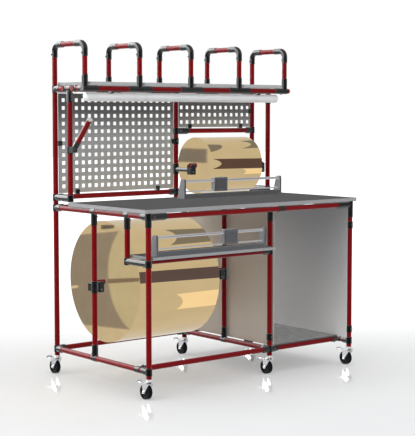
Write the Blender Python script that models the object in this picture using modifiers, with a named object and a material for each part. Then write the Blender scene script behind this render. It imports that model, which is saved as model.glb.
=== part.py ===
"""Packing table on castors, built from jointed steel pipe.

Metres, +Z up. The table stands on the floor at Z = 0, its long open side faces -Y, and the
origin lies on the floor under the middle of the whole. Places are first given from the front
left post's axis, and at() moves them to that origin.
"""

import math

import bmesh
import bpy
from mathutils import Matrix, Vector

# Fits between pieces
SEAT_GAP = 0.0003
RUNNING_GAP = 0.0004
OVERRUN = 0.004

# Pipe and clamp joints
PIPE_RADIUS = 0.014
ARM_RADIUS = 0.0160
COLLAR_RADIUS = 0.0168
COLLAR_HEIGHT = 0.034
TEE_LENGTH = 0.100
SIDE_TEE_LENGTH = 0.045
SHELF_TEE_LENGTH = 0.156
ARM_LENGTH = 0.052
SOCKET_LENGTH = 0.072
PIPE_SIDES = 12

# Plan of the frame, from the front left post
TABLE_LENGTH = 1.416
FRAME_DEPTH = 0.835
LEFT_BAY = 0.888
MIDDLE_SETBACK = 0.088
ROLL_POST_Y = 0.471
HANGER_Y = 0.178
UPRIGHT_SETBACK = 0.144
BOARD_POST_INSET = 0.061
SHELF_REACH = 0.288

# Heights above the floor
CASTOR_HEIGHT = 0.104
BASE_RAIL_Z = 0.140
LOW_CLAMP_RISE = 0.066
TABLE_HEIGHT = 0.950

# Rises above the worktop, and drops below it
BOARD_RAIL_RISE = 0.019
RIGHT_RAIL_RISE = 0.371
SHELF_RISE = 0.638
HOOP_RISE = 0.201
SMALL_SHELF_DROP = 0.239
SPARE_CLAMP_DROP = 0.153

# Worktop and small shelf
TOP_THICKNESS = 0.020
TOP_OVERHANG_LEFT = 0.030
TOP_OVERHANG_RIGHT = 0.038
TOP_OVERHANG_FRONT = 0.014
TOP_REAR_GAP = 0.008
EDGE_ROUND = 0.0015
SMALL_SHELF_THICKNESS = 0.016
SMALL_SHELF_END_GAP = 0.0462
SMALL_SHELF_DEPTH = 0.190
SMALL_SHELF_CLEARANCE = 0.002

# Upper shelf and its hoops
HOOP_COUNT = 5
HOOP_BEND = 0.034
HOOP_ELBOW_DROP = 0.034
HOOP_ELBOW_REACH = 0.050
HOOP_BEND_STEPS = 4
HOOP_BEVEL_STEPS = 3
SHELF_THICKNESS = 0.018
SHELF_CORNER = 0.022
SHELF_CORNER_STEPS = 4
SHELF_OVERHANG = 0.016
SHELF_LEG_GAP = 0.003
SHELF_RAIL_STUB_LEFT = 0.020
SHELF_RAIL_STUB_RIGHT = 0.036

# Perforated boards
BOARD_THICKNESS = 0.003
BOARD_EDGE_GAP = 0.006
BOARD_FOOT_GAP = 0.021
BOARD_HEAD_GAP = 0.023
HOLE_SIDE = 0.020
HOLE_PITCH = 0.0425
HOLE_MARGIN = 0.008
CLAMP_WIDTH = 0.026
CLAMP_DEPTH = 0.018
CLAMP_BITE = 0.018
CLAMP_INSET_SHARE = 1 / 6

# Panels of the closed bay
PANEL_THICKNESS = 0.004
PANEL_HEAD_GAP = 0.003
PANEL_FRONT_OVERLAP = 0.012
FLOOR_PANEL_THICKNESS = 0.006

# Film rolls, their shafts and cradles
BIG_ROLL_RADIUS = 0.320
BIG_ROLL_LENGTH = 0.524
BIG_ROLL_X = 0.060
BIG_ROLL_DROP = 0.410
BIG_ROLL_SIDES = 40
SMALL_ROLL_RADIUS = 0.161
SMALL_ROLL_START_GAP = 0.030
SMALL_ROLL_END_GAP = 0.188
SMALL_ROLL_RISE = 0.174
SMALL_ROLL_SIDES = 32
ROLL_EDGE_ROUND = 0.002
SHAFT_END_GAP = 0.002
ROLL_ARM_RADIUS = 0.012
ROLL_ARM_INSET = 0.058
CRADLE_WIDTH = 0.044
CRADLE_LENGTH = 0.034
CRADLE_DROP = 0.052
CRADLE_LIP = 0.006
CRADLE_EAR_DEPTH = 0.034
CRADLE_EAR_WIDTH = 0.016

# Sliding film cutters
CUTTER_SIDE_GAP = 0.158
CUTTER_DEPTH = 0.066
CUTTER_PLATE_THICKNESS = 0.012
CUTTER_PLATE_HEIGHT = 0.108
CUTTER_HEAD_DEPTH = 0.034
CUTTER_HEAD_ROUND = 0.010
CUTTER_BASE_HEIGHT = 0.024
CUTTER_BASE_DEPTH = 0.050
CUTTER_ROD_RADIUS = 0.0075
CUTTER_ROD_DROP = 0.013
CUTTER_ROD_INSET = 0.019
CUTTER_GUIDE_RADIUS = 0.004
CUTTER_GUIDE_LIFT = 0.014
CARRIAGE_WIDTH = 0.094
CARRIAGE_DEPTH = 0.034
CARRIAGE_HEIGHT = 0.078
CARRIAGE_RISE = 0.017
UPPER_CUTTER_END_GAP = 0.062
UPPER_CUTTER_SETBACK = 0.191
UPPER_CARRIAGE_TRAVEL = 0.210
LOWER_CUTTER_X = 0.041
LOWER_CUTTER_Y = -0.011
LOWER_CARRIAGE_TRAVEL = 0.430

# Lamp under the upper shelf
LAMP_RADIUS = 0.0235
LAMP_X = 0.010
LAMP_END_GAP = 0.037
LAMP_SETBACK = 0.023
LAMP_DROP = 0.044
LAMP_END_STEPS = 4
LAMP_SIDES = 14
LAMP_HANGER_WIDTH = 0.022
LAMP_HANGER_INSET_SHARE = 0.12

# Tilting tool holder on the left upright
HOLDER_RISE = 0.278
HOLDER_ARM_LENGTH = 0.225
HOLDER_ARM_TILT = math.radians(46.6)
HOLDER_PIVOT_REACH = 0.036
HOLDER_PIVOT_RADIUS = 0.015
HOLDER_PIVOT_WIDTH = 0.012
HOLDER_CHEEK_WIDTH = 0.007
HOLDER_CHEEK_STEPS = 6
HOLDER_CLAMP_HEIGHT = 0.040
HOLDER_CAP_LENGTH = 0.016

# Castors
WHEEL_RADIUS = 0.0375
WHEEL_WIDTH = 0.024
WHEEL_TREAD_ROUND = 0.003
WHEEL_RIM_RADIUS = 0.027
WHEEL_WEB_WIDTH = 0.012
WHEEL_HUB_RADIUS = 0.011
WHEEL_SIDES = 16
AXLE_RADIUS = 0.004
CASTOR_TRAIL = 0.024
FORK_THICKNESS = 0.0025
FORK_SIDE_GAP = 0.002
FORK_CROWN_Z = 0.082
FORK_CROWN_FRONT = 0.020
FORK_CROWN_REAR = 0.030
FORK_FOOT_RADIUS = 0.009
FORK_FOOT_STEPS = 5
CROWN_RADIUS = 0.022
CROWN_HEIGHT = 0.009
STEM_RADIUS = 0.0155
PEDAL_REACH = 0.084
PEDAL_WIDTH = 0.034
PEDAL_THICKNESS = 0.003
PEDAL_PIVOT_Y = 0.0365
PEDAL_PIVOT_Z = 0.0785
PEDAL_HUB_RADIUS = 0.004
PEDAL_LIP = 0.008
PEDAL_NECK_LENGTH = 0.009

# Heights and places that follow from the sizes above
LOW_CLAMP_Z = BASE_RAIL_Z + LOW_CLAMP_RISE
BAY_FLOOR_Z = BASE_RAIL_Z + COLLAR_RADIUS + SEAT_GAP
BOARD_RAIL_Z = TABLE_HEIGHT + BOARD_RAIL_RISE
RIGHT_RAIL_Z = TABLE_HEIGHT + RIGHT_RAIL_RISE
SHELF_HEIGHT = TABLE_HEIGHT + SHELF_RISE
HOOP_Z = SHELF_HEIGHT + HOOP_RISE
SMALL_SHELF_HEIGHT = TABLE_HEIGHT - SMALL_SHELF_DROP
SPARE_CLAMP_Z = TABLE_HEIGHT - SPARE_CLAMP_DROP
BIG_ROLL_Z = TABLE_HEIGHT - BIG_ROLL_DROP
SMALL_ROLL_Z = TABLE_HEIGHT + SMALL_ROLL_RISE
HOLDER_Z = TABLE_HEIGHT + HOLDER_RISE
TABLE_RAIL_Z = TABLE_HEIGHT - TOP_THICKNESS - SEAT_GAP - COLLAR_RADIUS
SMALL_RAIL_Z = SMALL_SHELF_HEIGHT - SMALL_SHELF_THICKNESS - SEAT_GAP - ARM_RADIUS
SHELF_RAIL_Z = SHELF_HEIGHT - SHELF_THICKNESS - SEAT_GAP - COLLAR_RADIUS
UPRIGHT_Y = FRAME_DEPTH - UPRIGHT_SETBACK
SHELF_FRONT_Y = FRAME_DEPTH - SHELF_REACH
TOP_REAR_Y = UPRIGHT_Y - PIPE_RADIUS - TOP_REAR_GAP
BOARD_POST_X = LEFT_BAY - BOARD_POST_INSET
SMALL_ROLL_X = BOARD_POST_X + SMALL_ROLL_START_GAP
SMALL_ROLL_LENGTH = TABLE_LENGTH - SMALL_ROLL_X - SMALL_ROLL_END_GAP
CUTTER_LENGTH = LEFT_BAY - CUTTER_SIDE_GAP
UPPER_CUTTER_X = TABLE_LENGTH - UPPER_CUTTER_END_GAP - CUTTER_LENGTH
UPPER_CUTTER_Y = UPRIGHT_Y - UPPER_CUTTER_SETBACK
LAMP_LENGTH = TABLE_LENGTH - LAMP_X - LAMP_END_GAP
LAMP_Y = SHELF_FRONT_Y + LAMP_SETBACK
HOOP_PITCH = TABLE_LENGTH / (HOOP_COUNT - 1)
CENTRE_X = (TABLE_LENGTH + TOP_OVERHANG_RIGHT - TOP_OVERHANG_LEFT) / 2
CENTRE_Y = (FRAME_DEPTH + PEDAL_REACH - CROWN_RADIUS) / 2

# Directions
RIGHT = Vector((1, 0, 0))
LEFT = -RIGHT
REAR = Vector((0, 1, 0))
FRONT = -REAR
UP = Vector((0, 0, 1))
DOWN = -UP

# Colour, roughness and metallic value of each finish
FINISHES = {
    "red_pipe": ((0.30, 0.008, 0.012), 0.25, 0.1),
    "grey_laminate": ((0.09, 0.09, 0.095), 0.55, 0.0),
    "grey_panel": ((0.20, 0.20, 0.20), 0.35, 0.0),
    "grey_board": ((0.26, 0.27, 0.27), 0.45, 0.1),
    "shelf_grey": ((0.42, 0.43, 0.44), 0.45, 0.0),
    "gold_film": ((0.60, 0.47, 0.26), 0.12, 0.9),
    "cutter_grey": ((0.08, 0.08, 0.09), 0.45, 0.1),
    "frosted_lamp": ((0.80, 0.81, 0.82), 0.30, 0.0),
    "zinc": ((0.62, 0.62, 0.64), 0.28, 0.9),
    "black_rubber": ((0.02, 0.02, 0.02), 0.60, 0.0),
}


def clear_scene():
    """Remove what the start-up scene holds."""
    for old in list(bpy.data.objects):
        bpy.data.objects.remove(old, do_unlink=True)


def new_collection(name):
    """Add a collection to the scene."""
    collection = bpy.data.collections.new(name)
    bpy.context.scene.collection.children.link(collection)
    return collection


def at(x, y, z):
    """Turn a place given from the front left post into the part's own coordinates."""
    return Vector((x - CENTRE_X, y - CENTRE_Y, z))


def paint(obj, finish):
    """Give an object its own Principled material."""
    colour, roughness, metallic = FINISHES[finish]
    material = bpy.data.materials.new(obj.name + "_" + finish)
    material.use_nodes = True
    shader = material.node_tree.nodes["Principled BSDF"]
    shader.inputs["Base Color"].default_value = (*colour, 1)
    shader.inputs["Roughness"].default_value = roughness
    shader.inputs["Metallic"].default_value = metallic
    material.diffuse_color = (*colour, 1)
    obj.data.materials.append(material)


def add_part(name, data, matrix, finish):
    """Place a mesh or curve as a named piece."""
    obj = bpy.data.objects.new(name, data)
    obj.matrix_world = matrix
    PARTS.objects.link(obj)
    if not obj.data.materials:
        paint(obj, finish)
    return obj


def add_tool(name, data, matrix):
    """Place a mesh that cuts a piece, or joins it, and isn't a piece itself."""
    tool = bpy.data.objects.new(name, data)
    tool.matrix_world = matrix
    tool.hide_render = True
    tool.display_type = "WIRE"
    TOOLS.objects.link(tool)
    return tool


def boolean(piece, tool, operation):
    """Join a tool to a piece, or cut it away."""
    modifier = piece.modifiers.new(tool.name, "BOOLEAN")
    modifier.object = tool
    modifier.operation = operation
    modifier.solver = "EXACT"


def baked(piece):
    """Return a piece's finished mesh, and remove the piece."""
    bpy.context.view_layer.update()
    evaluated = piece.evaluated_get(bpy.context.evaluated_depsgraph_get())
    mesh = bpy.data.meshes.new_from_object(evaluated)
    mesh.name = piece.name
    weld(mesh)
    bpy.data.objects.remove(piece, do_unlink=True)
    return mesh


def weld(mesh):
    """Merge a mesh's doubled points."""
    form = bmesh.new()
    form.from_mesh(mesh)
    bmesh.ops.remove_doubles(form, verts=form.verts, dist=SEAT_GAP / 10)
    form.to_mesh(mesh)
    form.free()


def facing(place, direction):
    """A matrix that stands local Z along a direction at a place."""
    turn = UP.rotation_difference(direction).to_matrix().to_4x4()
    return Matrix.Translation(place) @ turn


def sideways(place):
    """A matrix that lays a flat outline in the YZ plane, its thickness along X."""
    turn = Matrix(((0, 0, 1, 0), (1, 0, 0, 0), (0, 1, 0, 0), (0, 0, 0, 1)))
    return Matrix.Translation(place) @ turn


def box_mesh(name, low, high):
    """A box between two corners."""
    form = bmesh.new()
    bmesh.ops.create_cube(form, size=1)
    size = Vector(high) - Vector(low)
    middle = (Vector(high) + Vector(low)) / 2
    bmesh.ops.transform(form, matrix=Matrix.Translation(middle) @ Matrix.Diagonal((*size, 1)),
                        verts=form.verts)
    mesh = bpy.data.meshes.new(name)
    form.to_mesh(mesh)
    form.free()
    return mesh


def rod_mesh(name, radius, length, sides=PIPE_SIDES):
    """A cylinder that stands on the local origin."""
    form = bmesh.new()
    bmesh.ops.create_cone(form, cap_ends=True, segments=sides, radius1=radius, radius2=radius,
                          depth=length, matrix=Matrix.Translation((0, 0, length / 2)))
    mesh = bpy.data.meshes.new(name)
    form.to_mesh(mesh)
    form.free()
    return mesh


def outline_mesh(name, points, thickness):
    """A flat outline with a thickness, centred on the local XY plane."""
    curve = bpy.data.curves.new(name, "CURVE")
    curve.dimensions = "2D"
    curve.fill_mode = "BOTH"
    curve.extrude = thickness / 2
    spline = curve.splines.new("POLY")
    spline.points.add(len(points) - 1)
    for knot, (x, y) in zip(spline.points, points):
        knot.co = (x, y, 0, 1)
    spline.use_cyclic_u = True
    return baked(add_tool(name, curve, Matrix()))


def arc(centre, radius, start, end, steps):
    """Points along an arc, the ends included."""
    angles = [start + (end - start) * step / steps for step in range(steps + 1)]
    return [(centre[0] + radius * math.cos(angle), centre[1] + radius * math.sin(angle))
            for angle in angles]


def rounded_rectangle(width, depth, radius, steps):
    """A rectangle with round corners about the origin."""
    points = []
    for quarter, (side, end) in enumerate(((1, 1), (-1, 1), (-1, -1), (1, -1))):
        centre = (side * (width / 2 - radius), end * (depth / 2 - radius))
        start = quarter * math.pi / 2
        points += arc(centre, radius, start, start + math.pi / 2, steps)
    return points


def turned(name, profile, closed, matrix, sides, finish=None):
    """Turn a profile of (radius, height) points, top to bottom on its outer side."""
    mesh = bpy.data.meshes.new(name)
    edges = [(i, i + 1) for i in range(len(profile) - 1)]
    if closed:
        edges.append((len(profile) - 1, 0))
    mesh.from_pydata([(radius, 0, height) for radius, height in profile], edges, [])
    obj = add_part(name, mesh, matrix, finish) if finish else add_tool(name, mesh, matrix)
    screw = obj.modifiers.new("Turn", "SCREW")
    screw.axis = "Z"
    screw.steps = sides
    screw.render_steps = sides
    screw.use_merge_vertices = True
    screw.merge_threshold = 0.00001
    screw.use_smooth_shade = True
    return obj


def pipe_profile(length, swells):
    """Profile of a pipe whose radius swells over stretches of (from, to, radius)."""
    swells = [(max(low, 0), min(high, length), radius) for low, high, radius in swells]
    breaks = sorted({0, length, *(s[0] for s in swells), *(s[1] for s in swells)}, reverse=True)
    profile = [(0, length)]
    for high, low in zip(breaks, breaks[1:]):
        middle = (high + low) / 2
        radius = max([PIPE_RADIUS] + [s[2] for s in swells if s[0] < middle < s[1]])
        if len(profile) > 1 and profile[-1][0] == radius:
            profile.pop()
        else:
            profile.append((radius, high))
        profile.append((radius, low))
    profile.append((0, 0))
    return profile


def pipe(name, start, end, swells=(), finish=None):
    """A pipe between two places, with swells where joints clamp it."""
    run = end - start
    return turned(name, pipe_profile(run.length, swells), False, facing(start, run), PIPE_SIDES, finish)


def post(name, x, y, bottom, top, joints, finish=None):
    """An upright pipe with a clamp collar at each joint height."""
    swells = [(height - bottom - COLLAR_HEIGHT / 2, height - bottom + COLLAR_HEIGHT / 2,
               COLLAR_RADIUS) for height in joints]
    return pipe(name, at(x, y, bottom), at(x, y, top), swells, finish)


def add_arms(piece, place, directions, length=ARM_LENGTH):
    """Join clamp arms to a piece, from a point on its axis."""
    for index, direction in enumerate(directions):
        name = f"{piece.name}_arm_{len(piece.modifiers)}_{index}"
        tool = add_tool(name, rod_mesh(name, ARM_RADIUS, length), facing(place, direction))
        boolean(piece, tool, "UNION")


def tee(distance, length=SIDE_TEE_LENGTH):
    """The swell of a tee joint that is centred at a distance along a rail."""
    return (distance - length / 2, distance + length / 2, COLLAR_RADIUS)


def sleeve_start():
    """The swell of a joint at the start of a rail."""
    return (0, ARM_LENGTH, ARM_RADIUS)


def sleeve_end(length):
    """The swell of a joint at the end of a rail."""
    return (length - ARM_LENGTH, length, ARM_RADIUS)


def corner_posts():
    """The six posts that stand on castors, with their joints."""
    head = TABLE_RAIL_Z - SOCKET_LENGTH - SEAT_GAP
    tall_head = SHELF_RAIL_Z - SOCKET_LENGTH - SEAT_GAP
    front_left = post("post_front_left", 0, 0, CASTOR_HEIGHT, head,
                      (BASE_RAIL_Z, SMALL_RAIL_Z), "red_pipe")
    add_arms(front_left, at(0, 0, BASE_RAIL_Z), (REAR,))
    add_arms(front_left, at(0, 0, SMALL_RAIL_Z), (REAR,))

    front_right = post("post_front_right", TABLE_LENGTH, 0, CASTOR_HEIGHT, head,
                       (BASE_RAIL_Z, LOW_CLAMP_Z, SPARE_CLAMP_Z), "red_pipe")
    add_arms(front_right, at(TABLE_LENGTH, 0, BASE_RAIL_Z), (REAR,))

    front_middle = post("post_front_middle", LEFT_BAY, MIDDLE_SETBACK, CASTOR_HEIGHT, head,
                        (BASE_RAIL_Z, LOW_CLAMP_Z, SMALL_RAIL_Z), "red_pipe")
    add_arms(front_middle, at(LEFT_BAY, MIDDLE_SETBACK, BASE_RAIL_Z), (LEFT, RIGHT, REAR))
    add_arms(front_middle, at(LEFT_BAY, MIDDLE_SETBACK, SMALL_RAIL_Z), (LEFT,))

    rear_left = post("post_rear_left", 0, FRAME_DEPTH, CASTOR_HEIGHT, tall_head,
                     (BASE_RAIL_Z, TABLE_RAIL_Z, BOARD_RAIL_Z), "red_pipe")
    for height in (BASE_RAIL_Z, TABLE_RAIL_Z, BOARD_RAIL_Z):
        add_arms(rear_left, at(0, FRAME_DEPTH, height), (FRONT, RIGHT))

    rear_right = post("post_rear_right", TABLE_LENGTH, FRAME_DEPTH, CASTOR_HEIGHT, tall_head,
                      (BASE_RAIL_Z, TABLE_RAIL_Z, BOARD_RAIL_Z, RIGHT_RAIL_Z), "red_pipe")
    for height, directions in ((BASE_RAIL_Z, (FRONT, LEFT)), (TABLE_RAIL_Z, (FRONT, LEFT)),
                               (BOARD_RAIL_Z, (FRONT,)), (RIGHT_RAIL_Z, (LEFT,))):
        add_arms(rear_right, at(TABLE_LENGTH, FRAME_DEPTH, height), directions)
    add_roll_arm(rear_right, TABLE_LENGTH, ROLL_ARM_INSET, -1)

    rear_middle = post("post_rear_middle", LEFT_BAY, FRAME_DEPTH, CASTOR_HEIGHT, head,
                       (BASE_RAIL_Z,), "red_pipe")
    add_arms(rear_middle, at(LEFT_BAY, FRAME_DEPTH, BASE_RAIL_Z), (FRONT,))
    rear_rail = pipe("rear_base_rail_tool", at(ARM_LENGTH + SEAT_GAP, FRAME_DEPTH, BASE_RAIL_Z),
                     at(TABLE_LENGTH - ARM_LENGTH - SEAT_GAP, FRAME_DEPTH, BASE_RAIL_Z),
                     (tee(LEFT_BAY - ARM_LENGTH - SEAT_GAP, TEE_LENGTH),))
    boolean(rear_middle, rear_rail, "UNION")


def add_cradle(piece, x, y, z, side):
    """Join the open cradle of a roll shaft to a post, on the side that faces the roll."""
    clamp = rod_mesh(piece.name + "_clamp", COLLAR_RADIUS, CRADLE_DROP + CRADLE_LIP)
    tools = [add_tool(clamp.name, clamp, Matrix.Translation(at(x, y, z - CRADLE_DROP)))]
    reach = PIPE_RADIUS + CRADLE_LENGTH
    block = box_mesh(piece.name + "_cradle",
                     at(x + min(0, side * reach), y - CRADLE_WIDTH / 2, z - CRADLE_DROP),
                     at(x + max(0, side * reach), y + CRADLE_WIDTH / 2, z + CRADLE_LIP))
    tools.append(add_tool(block.name, block, Matrix()))
    ear = box_mesh(piece.name + "_ear",
                   at(x - CRADLE_EAR_WIDTH / 2, y, z - CRADLE_DROP + CRADLE_LIP),
                   at(x + CRADLE_EAR_WIDTH / 2, y + COLLAR_RADIUS + CRADLE_EAR_DEPTH, z - CRADLE_LIP))
    tools.append(add_tool(ear.name, ear, Matrix()))
    for tool in tools:
        boolean(piece, tool, "UNION")
    seat = PIPE_RADIUS + SEAT_GAP
    inner = x + side * PIPE_RADIUS
    outer = x + side * (reach + OVERRUN)
    trough = rod_mesh(piece.name + "_trough", seat, abs(outer - inner))
    boolean(piece, add_tool(trough.name, trough, facing(at(inner, y, z), RIGHT * side)), "DIFFERENCE")
    mouth = box_mesh(piece.name + "_mouth",
                     at(min(inner, outer), y - seat, z),
                     at(max(inner, outer), y + seat, z + CRADLE_LIP + OVERRUN))
    boolean(piece, add_tool(mouth.name, mouth, Matrix()), "DIFFERENCE")


def roll_post_tool(name, x):
    """The upright between a base rail and the table rail that carries the big roll's shaft."""
    foot = SOCKET_LENGTH
    length = TABLE_RAIL_Z - SOCKET_LENGTH - SEAT_GAP - BASE_RAIL_Z
    return pipe(name, at(x, ROLL_POST_Y, BASE_RAIL_Z), at(x, ROLL_POST_Y, BASE_RAIL_Z + length),
                ((0, foot, ARM_RADIUS),))


def base_rails():
    """The floor-level rails of the left bay, the middle and the right bay."""
    start = ARM_LENGTH + SEAT_GAP
    span = FRAME_DEPTH - 2 * start
    left = pipe("base_frame_left", at(0, start, BASE_RAIL_Z), at(0, FRAME_DEPTH - start, BASE_RAIL_Z),
                (tee(MIDDLE_SETBACK - start), tee(ROLL_POST_Y - start)), "red_pipe")
    front_left = pipe("front_base_rail_left_tool", at(0, MIDDLE_SETBACK, BASE_RAIL_Z),
                      at(LEFT_BAY - start, MIDDLE_SETBACK, BASE_RAIL_Z), (sleeve_start(),))
    boolean(left, front_left, "UNION")
    boolean(left, roll_post_tool("roll_post_left_tool", 0), "UNION")
    add_cradle(left, 0, ROLL_POST_Y, BIG_ROLL_Z, 1)

    middle = pipe("base_frame_middle", at(LEFT_BAY, MIDDLE_SETBACK + start, BASE_RAIL_Z),
                  at(LEFT_BAY, FRAME_DEPTH - start, BASE_RAIL_Z),
                  (tee(ROLL_POST_Y - MIDDLE_SETBACK - start),), "red_pipe")
    boolean(middle, roll_post_tool("roll_post_middle_tool", LEFT_BAY), "UNION")
    add_cradle(middle, LEFT_BAY, ROLL_POST_Y, BIG_ROLL_Z, -1)

    right = pipe("base_frame_right", at(TABLE_LENGTH, start, BASE_RAIL_Z),
                 at(TABLE_LENGTH, start + span, BASE_RAIL_Z), (tee(MIDDLE_SETBACK - start),),
                 "red_pipe")
    front_right = pipe("front_base_rail_right_tool", at(LEFT_BAY + start, MIDDLE_SETBACK, BASE_RAIL_Z),
                       at(TABLE_LENGTH, MIDDLE_SETBACK, BASE_RAIL_Z),
                       (sleeve_end(TABLE_LENGTH - LEFT_BAY - start),))
    boolean(right, front_right, "UNION")


def table_frame():
    """The rails under the worktop, with the sockets that the posts enter."""
    z = TABLE_RAIL_Z
    start = ARM_LENGTH + SEAT_GAP
    front = pipe("table_frame", at(-COLLAR_RADIUS, 0, z), at(TABLE_LENGTH + COLLAR_RADIUS, 0, z),
                 ((0, COLLAR_RADIUS + TEE_LENGTH, COLLAR_RADIUS),
                  tee(COLLAR_RADIUS + LEFT_BAY, COLLAR_HEIGHT),
                  (COLLAR_RADIUS + TABLE_LENGTH - TEE_LENGTH, TABLE_LENGTH + 2 * COLLAR_RADIUS,
                   COLLAR_RADIUS)), "red_pipe")
    rear_end = FRAME_DEPTH - start
    rails = (
        pipe("table_rail_left_tool", at(0, 0, z), at(0, rear_end, z),
             (sleeve_start(), tee(HANGER_Y), tee(ROLL_POST_Y))),
        pipe("table_rail_middle_tool", at(LEFT_BAY, 0, z), at(LEFT_BAY, FRAME_DEPTH, z),
             (sleeve_start(), tee(MIDDLE_SETBACK), tee(ROLL_POST_Y),
              sleeve_end(FRAME_DEPTH))),
        pipe("table_rail_right_tool", at(TABLE_LENGTH, 0, z), at(TABLE_LENGTH, rear_end, z),
             (sleeve_start(), sleeve_end(rear_end))),
        pipe("table_rail_rear_tool", at(start, FRAME_DEPTH, z), at(TABLE_LENGTH - start, FRAME_DEPTH, z),
             (tee(BOARD_POST_X - start, COLLAR_HEIGHT), tee(LEFT_BAY - start, COLLAR_HEIGHT))),
    )
    for rail in rails:
        boolean(front, rail, "UNION")
    for x, y in ((0, 0), (TABLE_LENGTH, 0), (LEFT_BAY, MIDDLE_SETBACK), (LEFT_BAY, FRAME_DEPTH),
                 (0, ROLL_POST_Y), (LEFT_BAY, ROLL_POST_Y), (0, HANGER_Y)):
        add_arms(front, at(x, y, z), (DOWN,), SOCKET_LENGTH)


def small_shelf_frame():
    """The hanging post and rails that carry the small lower shelf."""
    hanger = pipe("small_shelf_frame", at(0, HANGER_Y, SMALL_RAIL_Z - COLLAR_RADIUS),
                  at(0, HANGER_Y, TABLE_RAIL_Z - SOCKET_LENGTH - SEAT_GAP),
                  ((0, 2 * COLLAR_RADIUS, COLLAR_RADIUS),), "red_pipe")
    start = ARM_LENGTH + SEAT_GAP
    side = pipe("small_shelf_side_tool", at(0, start, SMALL_RAIL_Z), at(0, HANGER_Y, SMALL_RAIL_Z),
                ((0, HANGER_Y, ARM_RADIUS), tee(MIDDLE_SETBACK - start)))
    front = pipe("small_shelf_front_tool", at(0, MIDDLE_SETBACK, SMALL_RAIL_Z),
                 at(LEFT_BAY - start, MIDDLE_SETBACK, SMALL_RAIL_Z), (sleeve_start(),))
    boolean(hanger, side, "UNION")
    boolean(hanger, front, "UNION")


def board_frame():
    """The post between the perforated boards, with the rails under them."""
    start = ARM_LENGTH + SEAT_GAP
    upright = post("board_frame", BOARD_POST_X, FRAME_DEPTH, TABLE_RAIL_Z + COLLAR_RADIUS + SEAT_GAP,
                   SHELF_RAIL_Z - SOCKET_LENGTH - SEAT_GAP, (BOARD_RAIL_Z, RIGHT_RAIL_Z), "red_pipe")
    left = pipe("left_board_rail_tool", at(start, FRAME_DEPTH, BOARD_RAIL_Z),
                at(BOARD_POST_X, FRAME_DEPTH, BOARD_RAIL_Z), (sleeve_end(BOARD_POST_X - start),))
    right = pipe("right_board_rail_tool", at(BOARD_POST_X, FRAME_DEPTH, RIGHT_RAIL_Z),
                 at(TABLE_LENGTH - start, FRAME_DEPTH, RIGHT_RAIL_Z), (sleeve_start(),))
    boolean(upright, left, "UNION")
    boolean(upright, right, "UNION")
    add_roll_arm(upright, BOARD_POST_X, 0, 1)


def add_roll_arm(piece, post_x, inset, open_side):
    """Join a clamp, a forward arm and a cradle that hold one end of the small roll's shaft."""
    x = post_x - inset
    tag = piece.name + "_roll_"
    arm_z = SMALL_ROLL_Z - CRADLE_DROP / 2
    clamp = rod_mesh(tag + "clamp", COLLAR_RADIUS, CRADLE_DROP + CRADLE_LIP)
    place = at(post_x, FRAME_DEPTH, SMALL_ROLL_Z - CRADLE_DROP)
    boolean(piece, add_tool(clamp.name, clamp, Matrix.Translation(place)), "UNION")
    if inset > 0:
        cross = rod_mesh(tag + "cross", ARM_RADIUS, inset + ARM_RADIUS)
        boolean(piece, add_tool(cross.name, cross, facing(at(post_x, FRAME_DEPTH, arm_z), LEFT)), "UNION")
    arm = rod_mesh(tag + "arm", ROLL_ARM_RADIUS, UPRIGHT_SETBACK)
    boolean(piece, add_tool(arm.name, arm, facing(at(x, FRAME_DEPTH, arm_z), FRONT)), "UNION")
    half = COLLAR_RADIUS
    block = box_mesh(tag + "cradle",
                     at(x - half, UPRIGHT_Y - CRADLE_WIDTH / 2, SMALL_ROLL_Z - CRADLE_DROP),
                     at(x + half, UPRIGHT_Y + CRADLE_WIDTH / 2, SMALL_ROLL_Z + CRADLE_LIP))
    boolean(piece, add_tool(block.name, block, Matrix()), "UNION")
    seat = PIPE_RADIUS + SEAT_GAP
    closed = x - open_side * (half - SHAFT_END_GAP)
    opened = x + open_side * (half + OVERRUN)
    trough = rod_mesh(tag + "trough", seat, abs(opened - closed))
    boolean(piece, add_tool(trough.name, trough,
                            facing(at(min(closed, opened), UPRIGHT_Y, SMALL_ROLL_Z), RIGHT)),
            "DIFFERENCE")
    mouth = box_mesh(tag + "mouth",
                     at(min(closed, opened), UPRIGHT_Y - seat, SMALL_ROLL_Z),
                     at(max(closed, opened), UPRIGHT_Y + seat, SMALL_ROLL_Z + CRADLE_LIP + OVERRUN))
    boolean(piece, add_tool(mouth.name, mouth, Matrix()), "DIFFERENCE")


def side_uprights():
    """The two short uprights behind the worktop, each on a stub from its rear post."""
    top = SHELF_RAIL_Z - SOCKET_LENGTH - SEAT_GAP
    stub_end = FRAME_DEPTH - ARM_LENGTH - SEAT_GAP
    for name, x in (("upright_left", 0), ("upright_right", TABLE_LENGTH)):
        upright = post(name, x, UPRIGHT_Y, BOARD_RAIL_Z - COLLAR_RADIUS, top, (BOARD_RAIL_Z,),
                       "red_pipe")
        stub = pipe(name + "_stub_tool", at(x, UPRIGHT_Y, BOARD_RAIL_Z), at(x, stub_end, BOARD_RAIL_Z),
                    (sleeve_start(),))
        boolean(upright, stub, "UNION")
        if x == 0:
            add_holder_clamp(upright)


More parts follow.
